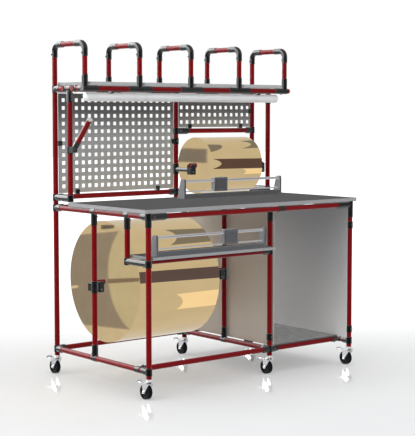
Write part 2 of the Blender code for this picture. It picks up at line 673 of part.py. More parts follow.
def add_holder_clamp(upright):
    """Join the tool holder's clamp and its two pivot cheeks to the left upright."""
    height = HOLDER_CLAMP_HEIGHT
    clamp = rod_mesh("holder_clamp_tool", COLLAR_RADIUS, height)
    boolean(upright, add_tool(clamp.name, clamp,
                              Matrix.Translation(at(0, UPRIGHT_Y, HOLDER_Z - height / 2))), "UNION")
    inner = HOLDER_PIVOT_WIDTH / 2 + RUNNING_GAP
    outer = inner + HOLDER_CHEEK_WIDTH
    pivot_y = UPRIGHT_Y - HOLDER_PIVOT_REACH
    outline = arc((0, 0), HOLDER_PIVOT_RADIUS, math.pi / 2, math.pi * 3 / 2, HOLDER_CHEEK_STEPS)
    outline += [(HOLDER_PIVOT_REACH, -HOLDER_PIVOT_RADIUS), (HOLDER_PIVOT_REACH, HOLDER_PIVOT_RADIUS)]
    for side in (-1, 1):
        cheek = outline_mesh(f"holder_cheek_tool_{side}", outline, HOLDER_CHEEK_WIDTH)
        place = sideways(at(side * (inner + outer) / 2, pivot_y, HOLDER_Z))
        boolean(upright, add_tool(cheek.name, cheek, place), "UNION")
    pin = rod_mesh("holder_pin_tool", AXLE_RADIUS, 2 * inner + HOLDER_CHEEK_WIDTH)
    place = at(-inner - HOLDER_CHEEK_WIDTH / 2, pivot_y, HOLDER_Z)
    boolean(upright, add_tool(pin.name, pin, facing(place, RIGHT)), "UNION")


def holder_arm():
    """The tilting pipe of the tool holder, whose knuckle turns on the clamp's pin."""
    pivot = at(0, UPRIGHT_Y - HOLDER_PIVOT_REACH, HOLDER_Z)
    direction = Vector((0, -math.cos(HOLDER_ARM_TILT), math.sin(HOLDER_ARM_TILT)))
    knuckle = rod_mesh("holder_arm", HOLDER_PIVOT_RADIUS, HOLDER_PIVOT_WIDTH)
    knuckle.transform(facing(Vector((-HOLDER_PIVOT_WIDTH / 2, 0, 0)), RIGHT))
    arm = add_part("holder_arm", knuckle, Matrix.Translation(pivot), "red_pipe")
    neck_end = COLLAR_RADIUS + HOLDER_PIVOT_RADIUS
    neck = box_mesh("holder_neck_tool", (-HOLDER_PIVOT_WIDTH / 2, -AXLE_RADIUS * 2, 0),
                    (HOLDER_PIVOT_WIDTH / 2, AXLE_RADIUS * 2, neck_end + OVERRUN))
    boolean(arm, add_tool(neck.name, neck, facing(pivot, direction)), "UNION")
    length = HOLDER_ARM_LENGTH - neck_end
    tube = pipe("holder_tube_tool", pivot + direction * neck_end, pivot + direction * HOLDER_ARM_LENGTH,
                ((length - HOLDER_CAP_LENGTH, length, ARM_RADIUS),))
    boolean(arm, tube, "UNION")
    bore = rod_mesh("holder_bore_tool", AXLE_RADIUS + SEAT_GAP, HOLDER_PIVOT_WIDTH + 2 * OVERRUN)
    place = pivot - RIGHT * (HOLDER_PIVOT_WIDTH / 2 + OVERRUN)
    boolean(arm, add_tool(bore.name, bore, facing(place, RIGHT)), "DIFFERENCE")


def shelf_frame():
    """The upper shelf's rails, with sockets for the hoops above and the posts below."""
    z = SHELF_RAIL_Z
    stub = SHELF_RAIL_STUB_LEFT
    swells = [tee(stub + HOOP_PITCH * index, SHELF_TEE_LENGTH) for index in range(HOOP_COUNT)]
    front = pipe("shelf_frame", at(-stub, SHELF_FRONT_Y, z),
                 at(TABLE_LENGTH + SHELF_RAIL_STUB_RIGHT, SHELF_FRONT_Y, z), swells, "red_pipe")
    rear = pipe("shelf_rail_rear_tool", at(-COLLAR_RADIUS, FRAME_DEPTH, z),
                at(TABLE_LENGTH + COLLAR_RADIUS, FRAME_DEPTH, z),
                [tee(COLLAR_RADIUS + HOOP_PITCH * index, SHELF_TEE_LENGTH)
                 for index in range(HOOP_COUNT)])
    boolean(front, rear, "UNION")
    for name, x in (("left", 0), ("right", TABLE_LENGTH)):
        rail = pipe(f"shelf_rail_{name}_tool", at(x, SHELF_FRONT_Y, z), at(x, FRAME_DEPTH, z),
                    (sleeve_start(), sleeve_end(SHELF_REACH)))
        boolean(front, rail, "UNION")
        add_arms(front, at(x, FRAME_DEPTH, z), (DOWN,), SOCKET_LENGTH)
        add_arms(front, at(x, UPRIGHT_Y, z), (DOWN,), SOCKET_LENGTH)
    add_arms(front, at(BOARD_POST_X, FRAME_DEPTH, z), (DOWN,), SOCKET_LENGTH)
    for index in range(HOOP_COUNT):
        for y in (SHELF_FRONT_Y, FRAME_DEPTH):
            add_arms(front, at(HOOP_PITCH * index, y, z), (UP,), SOCKET_LENGTH)


def hoop_route():
    """Points and radii along a hoop, which swells at its two elbows, in the YZ plane."""
    foot = SHELF_RAIL_Z + SOCKET_LENGTH + SEAT_GAP
    elbow = HOOP_Z - HOOP_BEND - HOOP_ELBOW_DROP
    inset = HOOP_BEND + HOOP_ELBOW_REACH
    rear_bend = arc((FRAME_DEPTH - HOOP_BEND, HOOP_Z - HOOP_BEND), HOOP_BEND, 0, math.pi / 2,
                    HOOP_BEND_STEPS)
    front_bend = arc((SHELF_FRONT_Y + HOOP_BEND, HOOP_Z - HOOP_BEND), HOOP_BEND, math.pi / 2,
                     math.pi, HOOP_BEND_STEPS)
    rear_side = FRAME_DEPTH - inset
    front_side = SHELF_FRONT_Y + inset
    step = SEAT_GAP
    wide = [(FRAME_DEPTH, elbow)] + rear_bend + [(rear_side, HOOP_Z)]
    wide_front = [(front_side, HOOP_Z)] + front_bend + [(SHELF_FRONT_Y, elbow)]
    route = [((FRAME_DEPTH, foot), PIPE_RADIUS), ((FRAME_DEPTH, elbow - step), PIPE_RADIUS)]
    route += [(point, COLLAR_RADIUS) for point in wide]
    route += [((rear_side - step, HOOP_Z), PIPE_RADIUS), ((front_side + step, HOOP_Z), PIPE_RADIUS)]
    route += [(point, COLLAR_RADIUS) for point in wide_front]
    route += [((SHELF_FRONT_Y, elbow - step), PIPE_RADIUS), ((SHELF_FRONT_Y, foot), PIPE_RADIUS)]
    return route


def hoops():
    """The five pipe hoops that stand on the upper shelf and divide it."""
    route = hoop_route()
    curve = bpy.data.curves.new("hoop", "CURVE")
    curve.dimensions = "3D"
    curve.bevel_depth = PIPE_RADIUS
    curve.bevel_resolution = HOOP_BEVEL_STEPS
    curve.use_fill_caps = True
    spline = curve.splines.new("POLY")
    spline.points.add(len(route) - 1)
    for knot, ((y, z), radius) in zip(spline.points, route):
        knot.co = (0, y, z, 1)
        knot.radius = radius / PIPE_RADIUS
    for index in range(HOOP_COUNT):
        add_part(f"hoop_{index + 1}", curve, Matrix.Translation(at(HOOP_PITCH * index, 0, 0)),
                 "red_pipe")


def rounded_slab(name, low, high, finish):
    """A board with slightly rounded edges."""
    board = add_part(name, box_mesh(name, low, high), Matrix(), finish)
    bevel = board.modifiers.new("Edges", "BEVEL")
    bevel.width = EDGE_ROUND
    bevel.segments = 2
    return board


def worktop():
    """The worktop, which lies on the table frame's joints."""
    rounded_slab("worktop", at(-TOP_OVERHANG_LEFT, -TOP_OVERHANG_FRONT, TABLE_HEIGHT - TOP_THICKNESS),
                 at(TABLE_LENGTH + TOP_OVERHANG_RIGHT, TOP_REAR_Y, TABLE_HEIGHT), "grey_laminate")


def small_shelf():
    """The small shelf under the worktop, which carries the lower cutter."""
    left = COLLAR_RADIUS + SMALL_SHELF_CLEARANCE
    right = LEFT_BAY - SMALL_SHELF_END_GAP
    front = MIDDLE_SETBACK - SMALL_SHELF_DEPTH / 2 - SMALL_SHELF_CLEARANCE
    rounded_slab("small_shelf", at(left, front, SMALL_SHELF_HEIGHT - SMALL_SHELF_THICKNESS),
                 at(right, front + SMALL_SHELF_DEPTH, SMALL_SHELF_HEIGHT),
                 "grey_laminate")


def shelf_boards():
    """The four round-cornered boards between the hoops."""
    width = HOOP_PITCH - 2 * (COLLAR_RADIUS + SHELF_LEG_GAP)
    depth = SHELF_REACH + 2 * SHELF_OVERHANG
    mesh = outline_mesh("shelf_board", rounded_rectangle(width, depth, SHELF_CORNER, SHELF_CORNER_STEPS),
                        SHELF_THICKNESS)
    for index in range(HOOP_COUNT - 1):
        place = at(HOOP_PITCH * (index + 1 / 2), SHELF_FRONT_Y + SHELF_REACH / 2,
                   SHELF_HEIGHT - SHELF_THICKNESS / 2)
        add_part(f"shelf_board_{index + 1}", mesh, Matrix.Translation(place), "shelf_grey")


def hole_count(span):
    """How many holes fit along one side of a perforated board."""
    return int((span - HOLE_SIDE - 2 * HOLE_MARGIN) / HOLE_PITCH) + 1


def perforated_board(name, left, right, bottom, clamps):
    """A steel board with rows of square holes, held by small clamps at its edges."""
    top = SHELF_RAIL_Z - BOARD_HEAD_GAP
    half = BOARD_THICKNESS / 2
    board = add_part(name, box_mesh(name, at(left, FRAME_DEPTH - half, bottom),
                                    at(right, FRAME_DEPTH + half, top)), Matrix(), "grey_board")
    for index, (low_x, high_x, low_z, high_z) in enumerate(clamps):
        clamp = box_mesh(f"{name}_clamp_{index}", at(low_x, FRAME_DEPTH - CLAMP_DEPTH / 2, low_z),
                         at(high_x, FRAME_DEPTH + CLAMP_DEPTH / 2, high_z))
        boolean(board, add_tool(clamp.name, clamp, Matrix()), "UNION")
    columns, rows = hole_count(right - left), hole_count(top - bottom)
    first_x = (left + right - HOLE_PITCH * (columns - 1) - HOLE_SIDE) / 2
    first_z = (bottom + top - HOLE_PITCH * (rows - 1) - HOLE_SIDE) / 2
    punch = box_mesh(name + "_punch", at(first_x, FRAME_DEPTH - half - OVERRUN, first_z),
                     at(first_x + HOLE_SIDE, FRAME_DEPTH + half + OVERRUN, first_z + HOLE_SIDE))
    tool = add_tool(punch.name, punch, Matrix())
    for axis, count in ((0, columns), (2, rows)):
        array = tool.modifiers.new("Repeat", "ARRAY")
        array.use_relative_offset = False
        array.use_constant_offset = True
        offset = [0, 0, 0]
        offset[axis] = HOLE_PITCH
        array.constant_offset_displace = offset
        array.count = count
    boolean(board, tool, "DIFFERENCE")


def perforated_boards():
    """The tall board on the left and the low one on the right."""
    gap = PIPE_RADIUS + SEAT_GAP
    inset = PIPE_RADIUS + BOARD_EDGE_GAP
    middle_z = (BOARD_RAIL_Z + SHELF_RAIL_Z) / 2
    right_middle_z = (RIGHT_RAIL_Z + SHELF_RAIL_Z) / 2
    foot = PIPE_RADIUS + SEAT_GAP
    clamps = (
        (gap, inset + CLAMP_BITE, middle_z - CLAMP_WIDTH / 2, middle_z + CLAMP_WIDTH / 2),
        (BOARD_POST_X - inset - CLAMP_BITE, BOARD_POST_X - gap, middle_z - CLAMP_WIDTH / 2,
         middle_z + CLAMP_WIDTH / 2),
    )
    feet = tuple((x - CLAMP_WIDTH / 2, x + CLAMP_WIDTH / 2, BOARD_RAIL_Z + foot,
                  BOARD_RAIL_Z + BOARD_FOOT_GAP + CLAMP_BITE)
                 for x in (BOARD_POST_X * CLAMP_INSET_SHARE, BOARD_POST_X * (1 - CLAMP_INSET_SHARE)))
    perforated_board("pegboard_left", inset, BOARD_POST_X - inset, BOARD_RAIL_Z + BOARD_FOOT_GAP,
                     clamps + feet)
    right_span = TABLE_LENGTH - BOARD_POST_X
    clamps = (
        (TABLE_LENGTH - inset - CLAMP_BITE, TABLE_LENGTH - gap, right_middle_z - CLAMP_WIDTH / 2,
         right_middle_z + CLAMP_WIDTH / 2),
    )
    feet = tuple((x - CLAMP_WIDTH / 2, x + CLAMP_WIDTH / 2, RIGHT_RAIL_Z + foot,
                  RIGHT_RAIL_Z + BOARD_FOOT_GAP + CLAMP_BITE)
                 for x in (BOARD_POST_X + right_span * CLAMP_INSET_SHARE,
                           TABLE_LENGTH - right_span * CLAMP_INSET_SHARE))
    perforated_board("pegboard_right", BOARD_POST_X + inset, TABLE_LENGTH - inset,
                     RIGHT_RAIL_Z + BOARD_FOOT_GAP, clamps + feet)


def bay_panels():
    """The two upright panels of the closed bay, and the floor panel that lies on its rails."""
    head = TABLE_RAIL_Z - COLLAR_RADIUS - PANEL_HEAD_GAP
    front = MIDDLE_SETBACK - PANEL_FRONT_OVERLAP
    rear = FRAME_DEPTH - COLLAR_RADIUS - SEAT_GAP
    inner = COLLAR_RADIUS + SEAT_GAP
    for name, low_x, low_y in (("bay_panel_middle", LEFT_BAY + inner, front),
                               ("bay_panel_right", TABLE_LENGTH - inner - PANEL_THICKNESS, 0)):
        add_part(name, box_mesh(name, at(low_x, low_y, BAY_FLOOR_Z),
                                at(low_x + PANEL_THICKNESS, rear, head)), Matrix(), "grey_panel")
    edge = inner + PANEL_THICKNESS + SEAT_GAP
    floor = box_mesh("bay_floor", at(LEFT_BAY + edge, MIDDLE_SETBACK - PIPE_RADIUS, BAY_FLOOR_Z),
                     at(TABLE_LENGTH - edge, FRAME_DEPTH, BAY_FLOOR_Z + FLOOR_PANEL_THICKNESS))
    add_part("bay_floor", floor, Matrix(), "grey_panel")


def film_roll(name, radius, length, sides, place):
    """A roll of film, turned with slightly rounded edges and a bore for its shaft."""
    bore = PIPE_RADIUS + RUNNING_GAP
    half = length / 2
    edge = ROLL_EDGE_ROUND
    profile = ((bore, half), (radius - edge, half), (radius, half - edge), (radius, edge - half),
               (radius - edge, -half), (bore, -half))
    turned(name, profile, True, facing(place, RIGHT), sides, "gold_film")


def film_rolls():
    """The two film rolls on their shafts."""
    film_roll("big_roll", BIG_ROLL_RADIUS, BIG_ROLL_LENGTH, BIG_ROLL_SIDES,
              at(BIG_ROLL_X + BIG_ROLL_LENGTH / 2, ROLL_POST_Y, BIG_ROLL_Z))
    film_roll("small_roll", SMALL_ROLL_RADIUS, SMALL_ROLL_LENGTH, SMALL_ROLL_SIDES,
              at(SMALL_ROLL_X + SMALL_ROLL_LENGTH / 2, UPRIGHT_Y, SMALL_ROLL_Z))
    end = COLLAR_RADIUS + SHAFT_END_GAP
    pipe("big_roll_shaft", at(end, ROLL_POST_Y, BIG_ROLL_Z), at(LEFT_BAY - end, ROLL_POST_Y, BIG_ROLL_Z),
         (), "red_pipe")
    end = COLLAR_RADIUS - 2 * SHAFT_END_GAP
    pipe("small_roll_shaft", at(BOARD_POST_X - end, UPRIGHT_Y, SMALL_ROLL_Z),
         at(TABLE_LENGTH - ROLL_ARM_INSET + end, UPRIGHT_Y, SMALL_ROLL_Z), (), "red_pipe")


def cutter_plate_outline():
    """An end plate's side view: upright in front, sloping behind, with a round head."""
    head = CUTTER_HEAD_ROUND
    top = CUTTER_PLATE_HEIGHT
    outline = [(0, 0), (CUTTER_DEPTH, 0)]
    outline += arc((CUTTER_HEAD_DEPTH - head, top - head), head, 0, math.pi / 2, SHELF_CORNER_STEPS)
    outline += arc((head, top - head), head, math.pi / 2, math.pi, SHELF_CORNER_STEPS)
    return outline


def cutter(name, x, y, z, travel):
    """A film cutter: end plates, base bar and two rods, with a knife carriage that slides."""
    base = box_mesh(name + "_frame", at(x, y, z + SEAT_GAP),
                    at(x + CUTTER_LENGTH, y + CUTTER_BASE_DEPTH, z + SEAT_GAP + CUTTER_BASE_HEIGHT))
    frame = add_part(name + "_frame", base, Matrix(), "cutter_grey")
    for end, place in (("left", CUTTER_PLATE_THICKNESS / 2),
                       ("right", CUTTER_LENGTH - CUTTER_PLATE_THICKNESS / 2)):
        plate = outline_mesh(f"{name}_plate_{end}", cutter_plate_outline(), CUTTER_PLATE_THICKNESS)
        boolean(frame, add_tool(plate.name, plate, sideways(at(x + place, y, z + SEAT_GAP))), "UNION")
    rod_y = y + CUTTER_ROD_INSET
    rod_z = z + SEAT_GAP + CUTTER_PLATE_HEIGHT - CUTTER_ROD_DROP
    guide_z = z + SEAT_GAP + CUTTER_BASE_HEIGHT + CUTTER_GUIDE_LIFT
    inset = CUTTER_PLATE_THICKNESS / 2
    rods = ((rod_z, CUTTER_ROD_RADIUS), (guide_z, CUTTER_GUIDE_RADIUS))
    for height, radius in rods:
        rod = rod_mesh(f"{name}_rod_{radius}", radius, CUTTER_LENGTH - 2 * inset)
        boolean(frame, add_tool(rod.name, rod, facing(at(x + inset, rod_y, height), RIGHT)), "UNION")
    left = x + CUTTER_PLATE_THICKNESS + travel
    top = rod_z + CARRIAGE_RISE
    block = box_mesh(name + "_carriage", at(left, rod_y - CARRIAGE_DEPTH / 2, top - CARRIAGE_HEIGHT),
                     at(left + CARRIAGE_WIDTH, rod_y + CARRIAGE_DEPTH / 2, top))
    carriage = add_part(name + "_carriage", block, Matrix(), "cutter_grey")
    for height, radius in rods:
        bore = rod_mesh(f"{name}_bore_{radius}", radius + RUNNING_GAP, CARRIAGE_WIDTH + 2 * OVERRUN)
        place = at(left - OVERRUN, rod_y, height)
        boolean(carriage, add_tool(bore.name, bore, facing(place, RIGHT)), "DIFFERENCE")


def lamp():
    """The tube lamp that hangs under the front shelf rail."""
    radius = LAMP_RADIUS
    rise = arc((0, 0), radius, math.pi / 2, 0, LAMP_END_STEPS)
    top = [(side, LAMP_LENGTH - radius + height) for side, height in rise]
    bottom = [(side, radius - height) for side, height in reversed(rise)]
    z = SHELF_RAIL_Z - LAMP_DROP
    tube = turned("lamp", top + bottom, False, facing(at(LAMP_X, LAMP_Y, z), RIGHT), LAMP_SIDES,
                  "frosted_lamp")
    width = LAMP_HANGER_WIDTH
    for share in (LAMP_HANGER_INSET_SHARE, 1 - LAMP_HANGER_INSET_SHARE):
        x = LAMP_X + LAMP_LENGTH * share
        hanger = box_mesh(f"lamp_hanger_{share}", at(x - width / 2, SHELF_FRONT_Y - width / 4, z),
                          at(x + width / 2, LAMP_Y, SHELF_RAIL_Z - PIPE_RADIUS - SEAT_GAP))
        boolean(tube, add_tool(hanger.name, hanger, Matrix()), "UNION")


def cheek_outline():
    """The side view of a castor fork's cheek, from the swivel axis at floor height."""
    foot = arc((CASTOR_TRAIL, WHEEL_RADIUS), FORK_FOOT_RADIUS, -math.pi * 5 / 6, 0,
               FORK_FOOT_STEPS)
    ear = PEDAL_PIVOT_Y + PEDAL_HUB_RADIUS
    return foot + [(ear, PEDAL_PIVOT_Z - PEDAL_HUB_RADIUS), (ear, FORK_CROWN_Z),
                   (-FORK_CROWN_FRONT, FORK_CROWN_Z)]


def fork_mesh():
    """A castor fork with its crown, swivel bearing and axle, about the swivel axis."""
    crown_top = FORK_CROWN_Z + FORK_THICKNESS
    bearing_top = crown_top + CROWN_HEIGHT
    profile = ((0, CASTOR_HEIGHT - SEAT_GAP), (STEM_RADIUS, CASTOR_HEIGHT - SEAT_GAP),
               (STEM_RADIUS, bearing_top), (CROWN_RADIUS, bearing_top), (CROWN_RADIUS, FORK_CROWN_Z),
               (0, FORK_CROWN_Z))
    fork = turned("castor_fork", profile, False, Matrix(), PIPE_SIDES)
    inner = WHEEL_WIDTH / 2 + FORK_SIDE_GAP
    outer = inner + FORK_THICKNESS
    plate = box_mesh("fork_plate", (-outer, -FORK_CROWN_FRONT, FORK_CROWN_Z - FORK_THICKNESS),
                     (outer, FORK_CROWN_REAR, crown_top))
    boolean(fork, add_tool(plate.name, plate, Matrix()), "UNION")
    for side in (-1, 1):
        place = Vector((side * (inner + FORK_THICKNESS / 2), 0, 0))
        cheek = outline_mesh(f"fork_cheek_{side}", cheek_outline(), FORK_THICKNESS)
        boolean(fork, add_tool(cheek.name, cheek, sideways(place)), "UNION")
    reach = inner + FORK_THICKNESS / 2
    axle = rod_mesh("fork_axle", AXLE_RADIUS, 2 * reach)
    place = Vector((-reach, CASTOR_TRAIL, WHEEL_RADIUS))
    boolean(fork, add_tool(axle.name, axle, facing(place, RIGHT)), "UNION")
    return baked(fork)


def wheel_mesh():
    """A castor wheel with tread, rim, web and hub, about its own axis."""
    half = WHEEL_WIDTH / 2
    web = WHEEL_WEB_WIDTH / 2
    edge = WHEEL_TREAD_ROUND
    bore = AXLE_RADIUS + SEAT_GAP
    side = ((bore, half), (WHEEL_HUB_RADIUS, half), (WHEEL_HUB_RADIUS, web), (WHEEL_RIM_RADIUS, web),
            (WHEEL_RIM_RADIUS, half), (WHEEL_RADIUS - edge, half), (WHEEL_RADIUS, half - edge))
    profile = side + tuple((radius, -height) for radius, height in reversed(side))
    return baked(turned("castor_wheel", profile, True, Matrix(), WHEEL_SIDES))


def pedal_mesh():
    """A castor's brake pedal, about its pivot behind the swivel axis."""
    reach = PEDAL_REACH - PEDAL_PIVOT_Y
    thick = PEDAL_THICKNESS
    half = PEDAL_WIDTH / 2
    neck = WHEEL_WIDTH / 2 + FORK_SIDE_GAP - SEAT_GAP
    top = PEDAL_HUB_RADIUS
    pedal = add_tool("castor_pedal", rod_mesh("castor_pedal", PEDAL_HUB_RADIUS, 2 * neck),
                     facing(Vector((-neck, 0, 0)), RIGHT))
    tools = (
        box_mesh("pedal_neck", (-neck, 0, top - thick), (neck, PEDAL_NECK_LENGTH + thick, top)),
        box_mesh("pedal_plate", (-half, PEDAL_NECK_LENGTH, top - thick), (half, reach, top)),
        box_mesh("pedal_lip", (-half, reach - thick, top - thick), (half, reach, top + PEDAL_LIP)),
    )
    for tool in tools:
        boolean(pedal, add_tool(tool.name, tool, Matrix()), "UNION")
    place = pedal.matrix_world.copy()
    mesh = baked(pedal)
    mesh.transform(place)
    return mesh


def castor_places():
    """Name and place of each castor."""
    return (("front_left", 0, 0), ("front_middle", LEFT_BAY, MIDDLE_SETBACK),
            ("front_right", TABLE_LENGTH, 0), ("rear_left", 0, FRAME_DEPTH),
            ("rear_middle", LEFT_BAY, FRAME_DEPTH), ("rear_right", TABLE_LENGTH, FRAME_DEPTH))


def castors():
    """Six swivelling castors, each a fork, a wheel and a brake pedal."""
    fork, wheel, pedal = fork_mesh(), wheel_mesh(), pedal_mesh()
    for name, x, y in castor_places():
        add_part("fork_" + name, fork, Matrix.Translation(at(x, y, 0)), "zinc")
        add_part("wheel_" + name, wheel, facing(at(x, y + CASTOR_TRAIL, WHEEL_RADIUS), RIGHT),
                 "black_rubber")
        add_part("pedal_" + name, pedal,
                 Matrix.Translation(at(x, y + PEDAL_PIVOT_Y, PEDAL_PIVOT_Z)), "zinc")


def smooth_shading():
    """Shade the round sides smooth and keep the edges sharp."""
    for obj in PARTS.objects:
        if obj.type == "MESH":
            obj.data.shade_smooth()
            if obj.data.polygons:
                obj.data.set_sharp_from_angle(angle=math.radians(35))


def main():
    """Build every piece of the table."""
    corner_posts()
    base_rails()
    table_frame()
    small_shelf_frame()
    board_frame()
    side_uprights()
    holder_arm()
    shelf_frame()
    hoops()
    worktop()
    small_shelf()
    shelf_boards()
    perforated_boards()
    bay_panels()
    film_rolls()
    cutter("upper_cutter", UPPER_CUTTER_X, UPPER_CUTTER_Y, TABLE_HEIGHT, UPPER_CARRIAGE_TRAVEL)
    cutter("lower_cutter", LOWER_CUTTER_X, LOWER_CUTTER_Y, SMALL_SHELF_HEIGHT, LOWER_CARRIAGE_TRAVEL)
    lamp()
    castors()
    smooth_shading()


clear_scene()
PARTS = new_collection("Packing table")
TOOLS = new_collection("Cutters and joiners")
main()
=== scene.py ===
"""Looks of the packing table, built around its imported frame.

Places in the tables below are metres from the front left post's axis, and at() moves them
into the frame, whose origin lies on the floor under the middle of the table.
"""

import math

import bpy
from bpy.props import FloatProperty, FloatVectorProperty, IntProperty, PointerProperty
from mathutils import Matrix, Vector


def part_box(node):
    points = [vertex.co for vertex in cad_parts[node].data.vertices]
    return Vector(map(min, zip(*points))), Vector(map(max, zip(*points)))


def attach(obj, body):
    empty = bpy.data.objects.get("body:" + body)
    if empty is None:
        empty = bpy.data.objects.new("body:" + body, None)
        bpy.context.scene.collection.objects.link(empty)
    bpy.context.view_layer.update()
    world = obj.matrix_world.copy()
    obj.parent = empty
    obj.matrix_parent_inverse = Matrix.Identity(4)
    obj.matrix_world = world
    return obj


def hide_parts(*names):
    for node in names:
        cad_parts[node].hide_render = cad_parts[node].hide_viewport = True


bl_info = {
    "name": "Packing table",
    "version": (1, 0, 0),
    "blender": (4, 5, 0),
    "location": "View3D > Sidebar > Packing table",
    "description": "Builds the finished look of a jointed pipe packing table",
    "category": "Object",
}

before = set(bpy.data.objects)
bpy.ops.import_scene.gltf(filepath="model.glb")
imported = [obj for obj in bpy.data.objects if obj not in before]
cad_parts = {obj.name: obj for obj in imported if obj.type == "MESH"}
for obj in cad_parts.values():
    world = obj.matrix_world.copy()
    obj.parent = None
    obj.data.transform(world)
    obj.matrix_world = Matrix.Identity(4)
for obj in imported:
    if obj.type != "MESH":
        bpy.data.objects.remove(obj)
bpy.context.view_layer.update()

# Plan of the frame, from the front left post
CENTRE = (0.712, 0.4485)
LENGTH = 1.416
DEPTH = 0.835
BAY = 0.888
SETBACK = 0.088
ROLL_Y = 0.471
HANGER_Y = 0.178
UPRIGHT_Y = 0.691
BOARD_X = 0.827
SHELF_Y = 0.547
SHELF_STUB_YS = (0.731, 0.638)
SHELF_STUB = 0.022
SHELF_RAIL_END = 0.034
HOOPS = 5
HOOP_PITCH = 0.354

# Heights
FOOT = 0.104
BASE_Z = 0.140
LOW_CLAMP_Z = 0.206
SMALL_Z = 0.6787
SPARE_CLAMP_Z = 0.797
TABLE_Z = 0.9129
BOARD_Z = 0.969
BOARD_CLAMP_Z = 1.262
RIGHT_Z = 1.321
SHELF_Z = 1.5529
HOOP_Z = 1.788
BIG_ROLL_Z = 0.540
SMALL_ROLL_Z = 1.124

# Clamp joints: their collars and the arms that run over pipes
GAP = 0.0003
COLLAR = 0.018
ARM = 0.052
SOCKET = 0.072
TEE = 0.078
TABLE_LEFT_ARM = 0.110
TABLE_RIGHT_ARM = 0.105
SHELF_FRONT_ARM = 0.062
BOARD_ARM = 0.09
ELBOW_DROP = 0.068
ELBOW_REACH = 0.084
BEND = 0.034

# Clamp shells: raised lips, seams and bolts
SHELL_SIDES = 28
LIP_INSET = 0.0008
LIP_RISE = 0.0006
LIP_WIDTH = 0.0012
ARM_EASE = 0.0004
SEAM_LENGTH_SHARE = 0.92
SEAM_STAND = 0.0022
SEAM_THICKNESS = 0.0032
SEAM_END = 0.004
BOLT_STEP = 0.011
BOLT_SEAT = 0.0002
BOLT_SIDES = 16
BOLT_SHARES = {"sunk": 0.4, "proud": 0.7, "edge": 0.18, "rim": 0.22, "dish": 0.06, "socket": 0.5}

# Rounded edges
SHELL_EDGE = 0.0006
PIPE_EDGE = 0.0012
ROD_EDGE = 0.0015

# How near two corners count as level, how near vertices are merged, and the share of a way that
# counts as running along another
NEAR = 0.001
MERGE = 0.00001
ALONG_SHARE = 0.5

RIGHT, REAR, UP = Vector((1, 0, 0)), Vector((0, 1, 0)), Vector((0, 0, 1))
LEFT, FRONT, DOWN = -RIGHT, -REAR, -UP
CASTORS = {
    "front_left": (0, 0), "front_middle": (BAY, SETBACK), "front_right": (LENGTH, 0),
    "rear_left": (0, DEPTH), "rear_middle": (BAY, DEPTH), "rear_right": (LENGTH, DEPTH),
}


def at(x, y, z):
    """Turn a place given from the front left post into the frame's own coordinates."""
    return Vector((x - CENTRE[0], y - CENTRE[1], z))


def cast(node):
    """Where a CAD node lies: its low corner, high corner and middle."""
    low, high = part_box(node)
    return low, high, (low + high) / 2


def post(x, y, head, foot=FOOT):
    """The ends of an upright pipe."""
    return ((x, y, foot), (x, y, head))


def side_rail(x, z, start=COLLAR, end=DEPTH - COLLAR):
    """The ends of a rail that runs from front to rear."""
    return ((x, start, z), (x, end, z))


def long_rail(y, z, start, end):
    """The ends of a rail that runs from left to right."""
    return ((start, y, z), (end, y, z))


def leg_runs():
    """Red pipe of each frame node, as (start, end) places."""
    head, tall = TABLE_Z - COLLAR, SHELF_Z - COLLAR
    return {
        "post_front_left": [post(0, 0, head)],
        "post_front_right": [post(LENGTH, 0, head)],
        "post_front_middle": [post(BAY, SETBACK, head)],
        "post_rear_left": [post(0, DEPTH, tall)],
        "post_rear_right": [post(LENGTH, DEPTH, tall)],
        "post_rear_middle": [post(BAY, DEPTH, head), long_rail(DEPTH, BASE_Z, COLLAR, LENGTH - COLLAR)],
        "base_frame_left": [side_rail(0, BASE_Z), long_rail(SETBACK, BASE_Z, COLLAR, BAY - COLLAR),
                            post(0, ROLL_Y, head, BASE_Z + COLLAR)],
        "base_frame_middle": [side_rail(BAY, BASE_Z, SETBACK + COLLAR),
                              post(BAY, ROLL_Y, head, BASE_Z + COLLAR)],
        "base_frame_right": [side_rail(LENGTH, BASE_Z),
                             long_rail(SETBACK, BASE_Z, BAY + COLLAR, LENGTH - COLLAR)],
        "table_frame": [long_rail(0, TABLE_Z, 0, LENGTH), *(side_rail(x, TABLE_Z) for x in (0, BAY, LENGTH)),
                        long_rail(DEPTH, TABLE_Z, COLLAR, LENGTH - COLLAR)],
        "small_shelf_frame": [post(0, HANGER_Y, head, SMALL_Z),
                              long_rail(SETBACK, SMALL_Z, COLLAR, BAY - COLLAR)],
        "board_frame": [post(BOARD_X, DEPTH, tall, TABLE_Z + COLLAR),
                        long_rail(DEPTH, BOARD_Z, COLLAR, BOARD_X - COLLAR),
                        long_rail(DEPTH, RIGHT_Z, BOARD_X + COLLAR, LENGTH - COLLAR)],
        "upright_left": [post(0, UPRIGHT_Y, tall, BOARD_Z)],
        "upright_right": [post(LENGTH, UPRIGHT_Y, tall, BOARD_Z)],
        "shelf_frame": [long_rail(SHELF_Y, SHELF_Z, -COLLAR, LENGTH + SHELF_RAIL_END),
                        long_rail(DEPTH, SHELF_Z, 0, LENGTH), side_rail(0, SHELF_Z, SHELF_Y + COLLAR),
                        *(long_rail(y, SHELF_Z, -SHELF_STUB, 0) for y in SHELF_STUB_YS),
                        side_rail(LENGTH, SHELF_Z, SHELF_Y + COLLAR)],
    }


def clamp(x, y, z, along, *arms):
    """A clamp joint: its middle, the way its collar runs, and (way, length) of each arm."""
    return (Vector((x, y, z)), along, arms)


